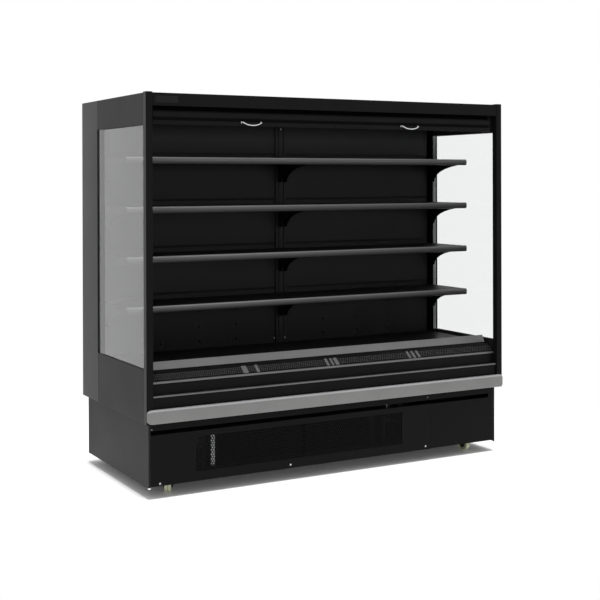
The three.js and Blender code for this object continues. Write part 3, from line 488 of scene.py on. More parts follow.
plasticRough, sheetRough = (0.4, 0.5), (0.42, 0.5)
railGloss = {"roughness": (0.28, 0.38), "specular": 0.15, "dust": 0.04, "bump": 0.06}
inside = {"roughness": (0.5, 0.6), "specular": 0.16, "dust": 0.05}
looks = {
    "sideCoat": {"colour": (0.0105, 0.0105, 0.011), "tint": (0.014, 0.014, 0.0145), "roughness": sheetRough,
                 "specular": 0.1, "bump": 0.2, "dust": 0.2},
    # a lighter copy of the side paint: painted light on the rear shell and on the posts' outer sides
    "shellCoat": {"colour": (0.021, 0.021, 0.0215), "tint": (0.026, 0.026, 0.0265), "roughness": sheetRough,
                  "specular": 0.17, "bump": 0.2, "dust": 0.2},
    "blackCoat": {"colour": (0.0038, 0.0038, 0.0040), "tint": (0.0052, 0.0052, 0.0054),
                  "roughness": (0.42, 0.52), "specular": 0.065, "dust": 0.04},
    "innerCoat": {"colour": (0.0105, 0.0105, 0.011), "tint": (0.0125, 0.0125, 0.013), **inside},
    # the back panels' coat carries the painted shade and light by height
    "backCoat": {"colour": (0.0125, 0.0125, 0.013), "tint": (0.0145, 0.0145, 0.015), **inside,
                 "paintedShadeSpan": backPaintedShade["span"], "paintedShadeBands": backPaintedShadeStops()},
    # near black that stands in for the shade in recesses: painted shade
    "recess": {"colour": (0.0008, 0.0008, 0.0009), "roughness": (0.7, 0.8), "specular": 0.01, "dust": 0.0},
    "blackPlastic": {"colour": (0.006, 0.006, 0.0062), "tint": (0.008, 0.008, 0.0082),
                     "roughness": (0.35, 0.45), "specular": 0.12, "dust": 0.06, "peelScale": 1400.0},
    # the rims that face up take a painted highlight
    "grillePlastic": {"colour": (0.006, 0.006, 0.0062), "paintedTopLight": (0.13, 0.13, 0.132), "paintedTopLightFrom": (0.70, 0.77),
                      "roughness": plasticRough, "specular": 0.12, "dust": 0.06, "peelScale": 1400.0},
    # the rails' bands are painted shade, dark at the foot and light at the top lip, and their ends a painted falloff
    # along the length
    "railPlastic": {"colour": (0.185, 0.185, 0.187), "tint": (0.2, 0.2, 0.202), "ends": (1.5, 0.65), **railGloss,
                    "paintedShadeBands": ((0.0, 0.04), (0.3, 0.10), (0.55, 0.24), (0.78, 0.36), (0.86, 0.75), (1.0, 1.0))},
    # the top rail is a lighter copy of the rail plastic, painted light
    "topRailPlastic": {"colour": (0.3, 0.3, 0.303), "tint": (0.32, 0.32, 0.322), "ends": (1.2, 0.85), **railGloss,
                       "paintedShadeBands": ((0.0, 0.03), (0.3, 0.09), (0.55, 0.26), (0.78, 0.36), (0.88, 0.75), (1.0, 1.5))},
    "sealRubber": {"colour": (0.004, 0.004, 0.004), "tint": (0.006, 0.006, 0.006), "roughness": (0.6, 0.75),
                   "specular": 0.1, "bump": 0.3, "peelScale": 1800.0},
    "tyreRubber": {"colour": (0.78, 0.79, 0.58), "tint": (0.68, 0.69, 0.5), "roughness": (0.5, 0.65),
                   "specular": 0.35, "bump": 0.25, "cloudScale": 30.0, "dust": 0.2},
    "hubPlastic": {"colour": (0.4, 0.41, 0.28), "tint": (0.34, 0.35, 0.24), "roughness": plasticRough,
                   "specular": 0.4, "cloudScale": 30.0},
    "compressorCoat": {"colour": (0.01, 0.01, 0.011), "tint": (0.014, 0.014, 0.015),
                       "roughness": (0.22, 0.32), "specular": 0.5, "coat": 0.3},
    "coilCoat": {"colour": (0.0022, 0.0022, 0.0023), "tint": (0.0035, 0.0035, 0.0036),
                 "roughness": plasticRough, "specular": 0.05, "dust": 0.0},
}
materials = {name: coatedMaterial(name, look) for name, look in looks.items()}

upright = (400.0, 400.0, 2.0)  # lines that run up and down
satin = {"roughness": (0.34, 0.44), "metallic": 0.5}
metalLooks = {
    # the faces that turn up take a painted highlight
    "anodised": {"colour": (0.172, 0.172, 0.170), "tint": (0.192, 0.192, 0.189), **satin, "specular": 0.4,
                 "paintedTopLight": (0.5, 0.5, 0.51), "paintedTopLightFrom": (0.2, 0.85)},
    "riserAluminium": {"colour": (0.142, 0.142, 0.141), "tint": (0.156, 0.156, 0.155), **satin, "specular": 0.3},
    "strapAluminium": {"colour": (0.11, 0.11, 0.112), "tint": (0.14, 0.14, 0.142), **satin,
                       "metallic": 0.0, "specular": 0.2},
    "trimAluminium": {"colour": (0.12, 0.12, 0.123), "tint": (0.15, 0.15, 0.153), "metallic": 0.6, "specular": 0.4},
    "spacerAluminium": {"colour": (0.065, 0.065, 0.066), "tint": (0.085, 0.085, 0.086), "metallic": 0.4,
                        "stretch": upright},
    "chrome": {"colour": (0.66, 0.66, 0.67), "tint": (0.6, 0.6, 0.61), "roughness": (0.1, 0.16),
               "metallic": 1.0, "bump": 0.02},
    "zinc": {"colour": (0.46, 0.47, 0.49), "tint": (0.56, 0.57, 0.58), "roughness": (0.28, 0.42),
             "metallic": 0.9, "bump": 0.05},
    "finAluminium": {"colour": (0.5, 0.51, 0.52), "tint": (0.42, 0.43, 0.44), "roughness": (0.3, 0.45),
                     "metallic": 0.85, "stretch": (400.0, 400.0, 3.0)},
    "stripAluminium": {"colour": (0.3, 0.3, 0.303), "tint": (0.34, 0.34, 0.343), "metallic": 0.3, "stretch": upright},
    "coverAluminium": {"colour": (0.92, 0.92, 0.92), "tint": (0.96, 0.96, 0.96), "metallic": 0.0, "stretch": upright},
    "forkSteel": {"colour": (0.02, 0.02, 0.021), "tint": (0.03, 0.03, 0.031), "roughness": (0.3, 0.45),
                  "metallic": 0.6, "bump": 0.05},
}
materials.update({name: brushedMaterial(name, look) for name, look in metalLooks.items()})
materials["blindCloth"] = wovenMaterial("blindCloth", {
    "colour": (0.0015, 0.0015, 0.0016), "tint": (0.003, 0.003, 0.0032), "roughness": 0.85, "specular": 0.03,
})
materials["clearGlass"] = glassMaterial("clearGlass", {
    "colour": (0.97, 0.985, 0.98), "smear": 0.006, "transmission": 1.0, "ior": 1.5,
})
print("materials made")


# end walls

glassEdge = {  # rear and front end before the rear seam, then near and far depth off the face
    "border": (0.081, 0.0004, 0.0002, 0.0005), "seal": (0.0014, 0.0004, 0.0002, 0.0006),
    "lip": (0.001, -0.010, 0.0002, 0.0006), "seam": (0.001, -0.001, 0.0001, 0.0003),
    "band": (0.081, 0.0192, 0.0008, 0.0012), "strip": (0.0192, 0.0015, 0.0008, 0.0012),
    "cover": (0.066, 0.046, -0.0052, -0.0002),
}
glassTrims = {"band": "spacerAluminium", "strip": "stripAluminium", "cover": "coverAluminium"}
paneSeal = {"width": 0.0025, "stand": 0.0013, "touch": 0.0002, "ease": 0.0005}


def makeEndWall(hand, side):
    glassLow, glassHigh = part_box(f"{hand}_end_glass")
    upperLow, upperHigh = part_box(f"{hand}_end_upper_panel")
    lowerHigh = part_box(f"{hand}_end_lower_panel")[1]
    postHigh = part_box(f"{hand}_front_post")[1]
    for place in ("upper", "lower"):
        soften(f"{hand}_end_{place}_panel", f"{hand}_end_{place}_skin", eased["wall"],
               "sideCoat", "foam_panel")
    post = soften(f"{hand}_front_post", f"{hand}_front_post_skin", eased["post"], "blackCoat",
                  "black_aluminium")
    post.data.materials.append(materials["shellCoat"])  # the outer side matches the wall, in the lighter copy of the side paint that is painted light
    for face in post.data.polygons:
        face.material_index = int(face.normal.x * side > 0.9 and face.center.x * side > cadBox[1][0] - 0.001)

    seamY = upperHigh.y
    bottom, top = lowerHigh.z, upperLow.z
    outer, inner = (glassLow.x, glassHigh.x) if side < 0 else (glassHigh.x, glassLow.x)
    makeBoxes(f"{hand}_glass_pane", "clearGlass", [(glassLow, glassHigh)], eased["pane"], 1,
              slot="end_glass", replaces=(f"{hand}_end_glass",))

    def addUpright(bm, face, span, low=bottom, high=top, extra=0.0):  # a strip on, or just inside, a face
        rear, front, near, far = glassEdge[span]
        addBox(bm, (face + side * near, seamY - rear, low), (face + side * (far + extra), seamY - front, high))

    wallFace = upperLow.x if side < 0 else upperHigh.x
    bm = bmesh.new()
    addUpright(bm, inner, "border")
    addUpright(bm, outer, "seal", extra=abs(wallFace - outer))
    addUpright(bm, wallFace, "lip")
    addUpright(bm, wallFace, "seam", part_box(f"{hand}_end_lower_panel")[0].z, upperHigh.z)
    touch, wide, ease = paneSeal["touch"], paneSeal["width"], paneSeal["ease"]
    front, rear = postHigh.y + touch, seamY - glassEdge["border"][0] - touch
    for face, way in ((outer, side), (inner, -side)):
        near, far = face + way * touch, face + way * paneSeal["stand"]
        addBox(bm, (near, front, bottom), (far, postHigh.y + wide, top), ease, 1)
        addBox(bm, (near, front, bottom), (far, rear, bottom + wide), ease, 1)
        addBox(bm, (near, front, top - wide), (far, rear, top), ease, 1)
    makePiece(bm, f"{hand}_glass_seals", "sealRubber", slot="black_steel")
    for span, metal in glassTrims.items():
        bm = bmesh.new()
        addUpright(bm, inner, span)
        makePiece(bm, f"{hand}_glass_{span}", metal, slot="silver_aluminium")


for hand, side in hands.items():
    makeEndWall(hand, side)
print("end walls made")


# insulated body

# the rear shell takes the lighter copy of the side paint, painted light
soften("rear_shell", "rear_shell_skin", eased["wall"], "shellCoat", "foam_panel")
soften("fascia", "fascia_skin", eased["fascia"], "blackCoat", "black_aluminium")
soften("insulated_tub", "insulated_tub_liner", eased["tub"], "innerCoat", "foam_panel")
recoat("canopy", "innerCoat")

blankPlate = {"left": 0.012, "width": 0.118, "height": 0.034, "thickness": 0.0016, "ease": 0.0007}


def makeBlankPlate():
    low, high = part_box("fascia")
    middle = (low.z + high.z) / 2
    x = low.x + blankPlate["left"]
    makeBoxes("blank_plate", "blackPlastic", [(
        (x, low.y - blankPlate["thickness"], middle - blankPlate["height"] / 2),
        (x + blankPlate["width"], low.y - 0.0001, middle + blankPlate["height"] / 2),
    )], blankPlate["ease"], slot="black_aluminium")


makeBlankPlate()

outlet = {"cell": {"pitch": 0.010, "hole": 0.0051, "depth": 0.008, "sides": 6},
          "start": 0.018, "margin": 0.03, "behindTube": 0.024, "depth": 0.058}


def makeOutletHoneycomb():
    low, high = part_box("canopy")
    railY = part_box("blind_cassette")[1].y
    bm = bmesh.new()
    matrix = Matrix.Translation((low.x + outlet["start"], railY + outlet["behindTube"], low.z + 0.0005))
    addHexSheet(bm, high.x - low.x - outlet["margin"], outlet["depth"], outlet["cell"], matrix)
    makePiece(bm, "outlet_honeycomb", "blackPlastic", slot="grille_plastic")


makeOutletHoneycomb()
print("body made")


# blinds

cassette = {"radius": 0.0200, "wall": 0.0016, "slit": 0.0045, "slitTurn": 42, "steps": 44, "webHalf": 0.002,
            "capRadius": 0.0208, "capRound": 0.003}
pullBar = {"half": 0.005, "height": 0.022, "round": 0.0022, "groove": 0.0012, "grooveDepth": 0.006,
           "capHalf": 0.0018, "capPast": 0.0008, "capEase": 0.0012}
blind = {"rows": 24, "thickness": 0.0005, "rollRadius": 0.0126, "axleRadius": 0.0038}
bowHandle = {"span": 0.108, "radius": 0.0032, "sag": 0.015, "rise": 0.001, "reach": 0.013,
             "left": 0.020, "right": -0.039,
             "boss": ((0, 0.0042), (0.0040, 0.0042), (0.0050, 0.0032), (0.0050, 0), (0, 0))}


def makeCassette():
    low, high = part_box("blind_cassette")
    rollerLow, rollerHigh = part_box("left_blind_roller")
    y = (rollerLow.y + rollerHigh.y) / 2
    z = (rollerLow.z + rollerHigh.z) / 2
    radius = cassette["radius"]
    slit = cassette["slit"] / radius * 57.3  # in degrees
    start = 270 - cassette["slitTurn"] + slit / 2
    outline = arc(y, z, radius, start, start + 360 - slit, cassette["steps"])
    outline += arc(y, z, radius - cassette["wall"], start + 360 - slit, start, cassette["steps"])
    bm = bmesh.new()
    addProfile(bm, outline, low.x + 0.002, high.x - 0.002)
    makePiece(bm, "blind_tube", "blackCoat", slot="black_aluminium", replaces=("blind_cassette",))
    web, cap, curve = cassette["webHalf"], cassette["capRadius"], cassette["capRound"]
    # the web above the tube is near black, painted shade
    makeBoxes("blind_tube_web", "recess", [(
        (low.x + 0.001, y - web, z + radius - 0.0012), (high.x - 0.001, y + web, high.z),
    )], slot="black_aluminium")
    bm = bmesh.new()
    middle = (low.x + high.x) / 2
    joints = ((low.x - 0.0005, low.x + 0.003), (high.x - 0.003, high.x + 0.0005), (middle - 0.002, middle + 0.002))
    for near, far in joints:
        profile = [(0, near), (cap - curve, near), (cap, near + 0.001), (cap, far - 0.001),
                   (cap - curve, far), (0, far)]
        addSpin(bm, profile, (0, y, z), (1, 0, 0), 40)
    makePiece(bm, "blind_tube_caps", "blackPlastic", slot="black_aluminium")
    return y, z


tubeY, tubeZ = makeCassette()


def makeBlind(hand):
    low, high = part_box(f"{hand}_pull_bar")
    clothLow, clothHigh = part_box(f"{hand}_blind_fabric")
    body = f"{hand}_bar"
    clothY = (clothLow.y + clothHigh.y) / 2
    top = high.z
    back, front = clothY + pullBar["half"], clothY - pullBar["half"]
    foot = top - pullBar["height"]
    curve, groove, grooveFoot = pullBar["round"], pullBar["groove"], top - pullBar["grooveDepth"]
    outline = arc(front + curve, foot + curve, curve, 180, 270, 5)
    outline += arc(back - curve, foot + curve, curve, 270, 360, 5)
    outline += arc(back - 0.001, top - 0.001, 0.001, 0, 90, 3)
    outline += [(clothY + groove, top), (clothY + groove, grooveFoot),
                (clothY - groove, grooveFoot), (clothY - groove, top)]
    outline += arc(front + curve, top - curve, curve, 90, 180, 5)
    bm = bmesh.new()
    addProfile(bm, outline, low.x, high.x)
    makePiece(bm, f"{hand}_pull_bar_skin", "blackCoat", body, "black_aluminium", (f"{hand}_pull_bar",))

    cap, past = pullBar["capHalf"], pullBar["capPast"]
    makeBoxes(f"{hand}_pull_bar_caps", "blackPlastic", [
        ((x - cap, front - past, foot - past), (x + cap, back + past, top + 0.0006)) for x in (low.x, high.x)
    ], pullBar["capEase"], body=body, slot="black_aluminium")

    # bow handle with a boss at each end
    x = (low.x + high.x) / 2 + bowHandle[hand]
    halfSpan = bowHandle["span"] / 2
    z = top - bowHandle["radius"] + bowHandle["rise"]
    reach = front - bowHandle["reach"]
    sag = bowHandle["sag"]
    route = [(-1, front + 0.001, 0), (-1, front - 0.006, 0.001), (-0.97, reach, 0.001),
             (-0.72, reach - 0.002, -sag * 0.55), (-0.36, reach - 0.003, -sag * 0.93),
             (0, reach - 0.003, -sag)]
    route += [(-a, b, c) for a, b, c in reversed(route[:-1])]
    bm = bmesh.new()
    addTube(bm, [(x + a * halfSpan, b, z + c) for a, b, c in route], bowHandle["radius"], 4, 8)
    for end in (-1, 1):
        addSpin(bm, bowHandle["boss"], (x + end * halfSpan, front, z), (0, -1, 0), 28)
    makePiece(bm, f"{hand}_blind_handle", "chrome", body, "bare_steel")

    # cloth from the roll to the bar
    bm = bmesh.new()
    rows = blind["rows"]
    zLines = [clothLow.z + (clothHigh.z - clothLow.z) * i / rows for i in range(rows + 1)]
    addStrip(bm, [clothLow.x, clothHigh.x], zLines, clothY)
    cloth = makePiece(bm, f"{hand}_blind_cloth", "blindCloth", "cabinet", "blind_fabric",
                      (f"{hand}_blind_fabric",), thickness=blind["thickness"])
    cloth.parent = None
    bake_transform(cloth)

    rollLow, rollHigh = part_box(f"{hand}_blind_roller")
    bm = bmesh.new()
    addRod(bm, (clothLow.x, tubeY, tubeZ), (clothHigh.x, tubeY, tubeZ), blind["rollRadius"], segments=40)
    makePiece(bm, f"{hand}_blind_roll", "blindCloth", f"{hand}_roller", "blind_fabric", (f"{hand}_blind_roller",))
    bm = bmesh.new()
    addRod(bm, (rollLow.x, tubeY, tubeZ), (rollHigh.x, tubeY, tubeZ), blind["axleRadius"], segments=20)
    makePiece(bm, f"{hand}_blind_axle", "zinc", f"{hand}_roller", "bare_steel")


for hand in hands:
    makeBlind(hand)
print("blinds made")


# uprights, back panels and shelves

slots = {"pitch": 0.025, "width": 0.0065, "height": 0.016, "sheet": 0.0018, "fromTop": 0.06, "fromFoot": 0.19}


def makeUpright(name, columns):
    low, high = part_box(name)
    half = slots["width"] / 2
    xLines = [low.x, *sorted(x + end * half for x in columns for end in (-1, 1)), high.x]
    first = high.z - slots["fromTop"]
    count = int((first - low.z - slots["fromFoot"]) / slots["pitch"])
    zLines = [low.z]
    for i in reversed(range(count)):
        middle = first - i * slots["pitch"]
        zLines += [middle - slots["height"] / 2, middle + slots["height"] / 2]
    zLines.append(high.z)
    bm = bmesh.new()
    addStrip(bm, xLines, zLines, low.y, lambda i, j: i % 2 == 1 and j % 2 == 1)
    addFolds(bm, 0, (low.x, high.x), high.y - low.y)
    # the side uprights are near black, painted shade; the centre one carries the back panels' painted shade and light
    coat = "backCoat" if name == "centre_upright" else "recess"
    makePiece(bm, f"{name}_channel", coat, slot="black_steel", replaces=(name,), thickness=-slots["sheet"])


def bracketPlaces():  # slot columns, from the width of the uprights
    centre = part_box("centre_upright")
    inner = (centre[1].x - centre[0].x) / 4
    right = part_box("right_upright")
    return inner, right[0].x + inner


bracketInner, bracketOuter = bracketPlaces()
makeUpright("centre_upright", (-bracketInner, bracketInner))
makeUpright("left_upright", (-bracketOuter,))
makeUpright("right_upright", (bracketOuter,))

screwHead = {"radius": 0.0055, "height": 0.0026}
panelScrews = {"places": ((-0.040, 0.636), (0.021, 0.636), (0.0, 1.811)), "radius": 0.0038}


def addScrew(bm, place, direction, radius=screwHead["radius"]):
    height = screwHead["height"] * radius / screwHead["radius"]
    profile = [(radius, 0), (radius, height * 0.35)]
    profile += [(radius * cos(radians(a)), height * (0.35 + 0.65 * sin(radians(a)))) for a in (30, 55, 75)]
    profile.append((0, height))
    addSpin(bm, profile, place, direction, 16)


def makeBackTrim():
    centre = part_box("centre_upright")
    bm = bmesh.new()
    for x, z in panelScrews["places"]:
        onUpright = abs(x) < centre[1].x
        face = centre[0].y - slots["sheet"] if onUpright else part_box("left_back_panel")[0].y
        addScrew(bm, (x, face, z), (0, -1, 0), panelScrews["radius"])
    makePiece(bm, "panel_screws", "zinc", slot="bare_steel")


makeBackTrim()
# the back panels take the coat with painted shade and light by height
for hand in hands:
    recoat(f"{hand}_back_panel", "backCoat")

rail = {"bulge": 0.0085, "wall": 0.0022, "straight": 0.003, "seamX": 0.032, "seamHalf": 0.0006,
        "plugOut": 0.0015, "plugIn": 0.004, "plugShy": 0.0004}


def makeTicketRail(number):
    node = f"ticket_rail_{number}"
    low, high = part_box(node)
    back, top, foot = high.y, high.z, low.z
    middle = (top + foot) / 2
    half = (top - foot) / 2
    bulge, wall, curveY = rail["bulge"], rail["wall"], back - rail["straight"]
    outer = arc(curveY, middle, bulge, 90, 270, 14, half)
    inner = arc(curveY, middle, bulge - wall, 270, 90, 14, half - wall)
    outline = [(back, top), *outer, (back, foot), (back, foot + wall), *inner, (back, top - wall)]
    seam, gap = rail["seamX"], rail["seamHalf"]
    bm = bmesh.new()
    for near, far in ((low.x, seam - gap), (seam + gap, high.x)):
        addProfile(bm, outline, near, far)
    # the top rail takes the lighter copy, painted light; the map below carries the painted shade bands and falloff
    look = "topRailPlastic" if number == shelfCount else "railPlastic"
    strip = makePiece(bm, f"ticket_rail_{number}_skin", look, slot="ticket_rail", replaces=(node,), sharp=40)
    mapHeight(strip, foot, top)
    bm = bmesh.new()
    for x, way in ((low.x, 1), (high.x, -1)):
        curve = arc(curveY, middle, bulge - rail["plugShy"], 90, 270, 14, half - 0.0005)
        plug = [(back, top - 0.0005), *curve, (back, foot + 0.0005)]
        addProfile(bm, plug, x - way * rail["plugOut"], x + way * rail["plugIn"])
    makePiece(bm, f"ticket_rail_{number}_ends", "blackPlastic", slot="ticket_rail", sharp=40)


for number in range(1, shelfCount + 1):
    makeTicketRail(number)
    for hand in hands:
        recoat(f"{hand}_shelf_{number}", "blackCoat")
print("display made")


# deck, grille and front

soften("deck_riser", "deck_riser_skin", eased["riser"], "riserAluminium", "silver_aluminium")
for hand in hands:
    recoat(f"{hand}_deck_pan", "blackCoat")

grille = {
    "cell": {"pitch": 0.0115, "hole": 0.0060, "depth": 0.010, "sides": 6},
    "foot": (-0.417, 0.5630), "head": (-0.3665, 0.6025), "inset": 0.008, "margin": 0.004,
    "frameDepth": 0.007, "footEdge": 0.0025, "headEdge": 0.016, "sideEdge": 0.009, "lip": 0.0055,
    "straps": ((-0.530, -0.502), (-0.456, -0.439), (-0.048, -0.034), (-0.018, -0.006), (0.004, 0.026),
               (0.462, 0.477), (0.491, 0.508), (0.523, 0.538)),
    "strapHeights": (0.001, 0.0028),
}


def makeGrille():
    low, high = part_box("return_grille")
    width = high.x - low.x
    footY, footZ = grille["foot"]
    headY, headZ = grille["head"]
    length = hypot(headZ - footZ, headY - footY)
    tilt = Matrix.Rotation(atan2(headZ - footZ, headY - footY), 4, "X")
    margin, inset, deep = grille["margin"], grille["inset"], grille["frameDepth"]
    bm = bmesh.new()
    seat = Matrix.Translation((0, margin + 0.002, -0.0005 - grille["cell"]["depth"]))
    addHexSheet(bm, width - 2 * inset, length - 2 * margin, grille["cell"],
                Matrix.Translation((low.x + inset, footY, footZ)) @ tilt @ seat)
    makePiece(bm, "return_honeycomb", "grillePlastic", slot="grille_plastic", replaces=("return_grille",))
    bm = bmesh.new()
    for start, end in ((0, grille["footEdge"]), (length - grille["headEdge"], length)):
        addBox(bm, (0, start, -deep), (width, end, 0.0008), 0.0004, 1)
    for start in (0, width - grille["sideEdge"]):
        addBox(bm, (start, 0, -deep), (start + grille["sideEdge"], length, 0.0008), 0.0004, 1)
    bmesh.ops.transform(bm, matrix=Matrix.Translation((low.x, footY, footZ)) @ tilt, verts=bm.verts)
    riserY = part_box("deck_riser")[0].y
    addBox(bm, (low.x, riserY - 0.0014, headZ - 0.002), (high.x, riserY, headZ + grille["lip"]), 0.0004, 1)
    makePiece(bm, "grille_frame", "blackCoat", slot="grille_plastic")
    strapLow, strapHigh = grille["strapHeights"]
    makeBoxes("grille_straps", "strapAluminium", [
        ((near, -0.001, strapLow), (far, length - grille["headEdge"], strapHigh)) for near, far in grille["straps"]
    ], 0.0006, 1, slot="silver_aluminium", matrix=Matrix.Translation((0, footY, footZ)) @ tilt)


makeGrille()

frontTrim = {"wrap": 0.0009, "depth": 0.016, "bendOut": 0.0029, "bendIn": 0.0021, "capY": -0.424,
             "capNose": 0.0088, "ledgeTop": 0.496, "ledgeNose": 0.0062}


def makeFrontWall():
    low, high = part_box("front_wall")
    recoat("front_wall", "blackCoat")
    for name, noseY, top, nose in (("cap_nosing", frontTrim["capY"], high.z, frontTrim["capNose"]),
                                   ("ledge_nosing", low.y, frontTrim["ledgeTop"], frontTrim["ledgeNose"])):
        foot = top - nose
        back, lip, y = noseY + frontTrim["depth"], noseY + frontTrim["depth"] * 0.3, noseY + 0.002
        bendOut, bendIn = frontTrim["bendOut"], frontTrim["bendIn"]
        outside = [(lip, foot - frontTrim["wrap"]), *arc(y, foot + 0.0015, bendOut, 270, 180, 4),
                   *arc(y, top - 0.0021, bendOut, 180, 90, 4), (back, top + 0.0008)]
        inside = [(back, top + 0.0001), *arc(y, top - 0.002, bendIn, 90, 180, 4),
                  *arc(y, foot + 0.0016, bendIn, 180, 270, 4), (lip, foot - 0.0001)]
        bm = bmesh.new()
        addProfile(bm, outside + inside, low.x, high.x)
        makePiece(bm, name, "trimAluminium", slot="silver_aluminium", sharp=40)


makeFrontWall()

bumper = {"topReach": 0.0155, "topDrop": 0.013, "footRound": 0.004, "endLength": 0.026, "endDrop": 0.018,
          "steps": (0.0, 0.04, 0.12, 0.25, 0.42, 0.65, 1.0), "coreX": 1.007, "coreFoot": 0.024, "coreTop": 0.044}


def bumperOutline(back, low, high, reach, drop):
    high, low = high - drop, low + drop
    footRound = min(bumper["footRound"], reach * 0.4)
    topDrop = min(bumper["topDrop"], (high - low) * 0.4)
    outline = [(back, high), *arc(back, high - topDrop, reach, 90, 180, 8, topDrop)]
    outline += arc(back - reach + footRound, low + footRound, footRound, 180, 270, 4)
    return outline + [(back, low)]


def makeBumper():
    low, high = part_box("bumper")
    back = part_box("left_front_post")[0].y - 0.0003
    rings = []
    for step in bumper["steps"]:  # the ends round off
        swell = sqrt(1 - (1 - step) ** 2)
        outline = bumperOutline(back, low.z, high.z, bumper["topReach"] * (0.12 + 0.88 * swell),
                                bumper["endDrop"] * (1 - swell))
        rings.append((low.x + bumper["endLength"] * step, outline))
    rings += [(-x, outline) for x, outline in reversed(rings)]
    bm = bmesh.new()
    addLoft(bm, rings)
    addBox(bm, (-bumper["coreX"], back - 0.002, low.z + bumper["coreFoot"]),
           (bumper["coreX"], high.y, low.z + bumper["coreTop"]))
    makePiece(bm, "bumper_skin", "anodised", slot="silver_aluminium", replaces=("bumper",), sharp=40)


makeBumper()
print("front made")


# base

vent = {"left": -0.791, "right": 0.413, "foot": 0.109, "top": 0.279,
        "sheet": 0.0015, "cell": {"pitch": 0.013, "hole": 0.0049, "depth": 0.0012, "sides": 12}}


def makeKickPanels():
    low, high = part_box("kick_panel")
    bm = bmesh.new()
    addStrip(bm, [low.x, vent["left"], vent["right"], high.x], [low.z, vent["foot"], vent["top"], high.z],
             low.y, lambda i, j: i == j == 1)
    addFolds(bm, 2, (low.z, high.z), high.y - low.y)
    makePiece(bm, "kick_panel_skin", "blackCoat", slot="black_steel", replaces=("kick_panel",),
              thickness=-vent["sheet"])
    makeBoxes("kick_joint_seal", "sealRubber", [(  # between the panel and the corner of the base
        (low.x - 0.010, low.y + 0.006, low.z + 0.002), (low.x + 0.004, low.y + 0.008, high.z - 0.002),
    )], slot="black_steel")
    middle = (vent["left"] + vent["right"]) / 2
    pitch = vent["cell"]["pitch"]
    for name, near, far in (("left", vent["left"], middle), ("right", middle, vent["right"])):
        bm = bmesh.new()
        matrix = Matrix.Translation((near + pitch * 0.25, low.y + 0.0004, vent["foot"] + pitch * 0.35))
        matrix = matrix @ Matrix.Rotation(pi / 2, 4, "X")
        addHexSheet(bm, far - near - pitch * 0.5, vent["top"] - vent["foot"], vent["cell"], matrix)
        makePiece(bm, f"kick_perforation_{name}", "blackCoat", slot="black_steel")


makeKickPanels()
soften("kick_end_panel", "kick_end_skin", eased["kickEnd"], "blackCoat", "black_steel")
soften("chassis", "chassis_frame", eased["chassis"], "blackCoat", "black_steel", segments=1)
soften("base_rear_panel", "base_rear_skin", eased["rearPanel"], "sideCoat", "grey_steel", segments=1)
for hand in hands:
    soften(f"{hand}_base_side", f"{hand}_base_skin", eased["baseSide"], "sideCoat", "grey_steel")

kickScrews = {  # places across and up, then the radius of the head
    "zinc": (((-0.980, 0.072), (-0.268, 0.078), (0.566, 0.078)), 0.0055),
    "trimAluminium": (((-1.021, 0.334), (0.580, 0.343)), 0.0042),
}


def makeBaseScrews():
    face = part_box("kick_panel")[0].y
    for metal, (places, radius) in kickScrews.items():
        bm = bmesh.new()
        for x, z in places:
            addScrew(bm, (x, face, z), (0, -1, 0), radius)
        makePiece(bm, f"base_screws_{metal}", metal, slot="bare_steel")


makeBaseScrews()


cornerTip = {"out": 0.001, "across": 0.011, "back": 0.010, "halfHeight": 0.003}


def makeCornerTip():  # a small white box round the foot of the front left corner
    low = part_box("left_base_side")[0]
    out, half = cornerTip["out"], cornerTip["halfHeight"]
    makeBoxes("corner_tip", "coverAluminium", [(
        (low.x - out, low.y - out, low.z - half),
        (low.x + cornerTip["across"], low.y + cornerTip["back"], low.z + half),
    )], out, slot="bare_steel")


makeCornerTip()
print("base made")


# castors

castor = {
    "plate": 0.037, "plateThick": 0.004, "boltAt": 0.028, "leg": 0.003, "legFront": 0.027, "legRound": 0.011,
    "trail": 0.018, "wheelRadius": 0.030, "wheelHalf": 0.017, "tread": 0.007, "treadRound": 0.003, "axle": 0.0046,
    # turned profiles, as radius and height
    "race": ((0, -0.004), (0.024, -0.004), (0.0245, -0.007), (0.021, -0.010), (0.0245, -0.013), (0.022, -0.017),
             (0, -0.017)),
    "bolt": ((0, -0.0085), (0.0045, -0.0085), (0.0058, -0.0075), (0.0058, -0.004), (0, -0.004)),
    "nut": ((0, 0.0045), (0.006, 0.0045), (0.0072, 0.0035), (0.0072, 0), (0, 0)),
}


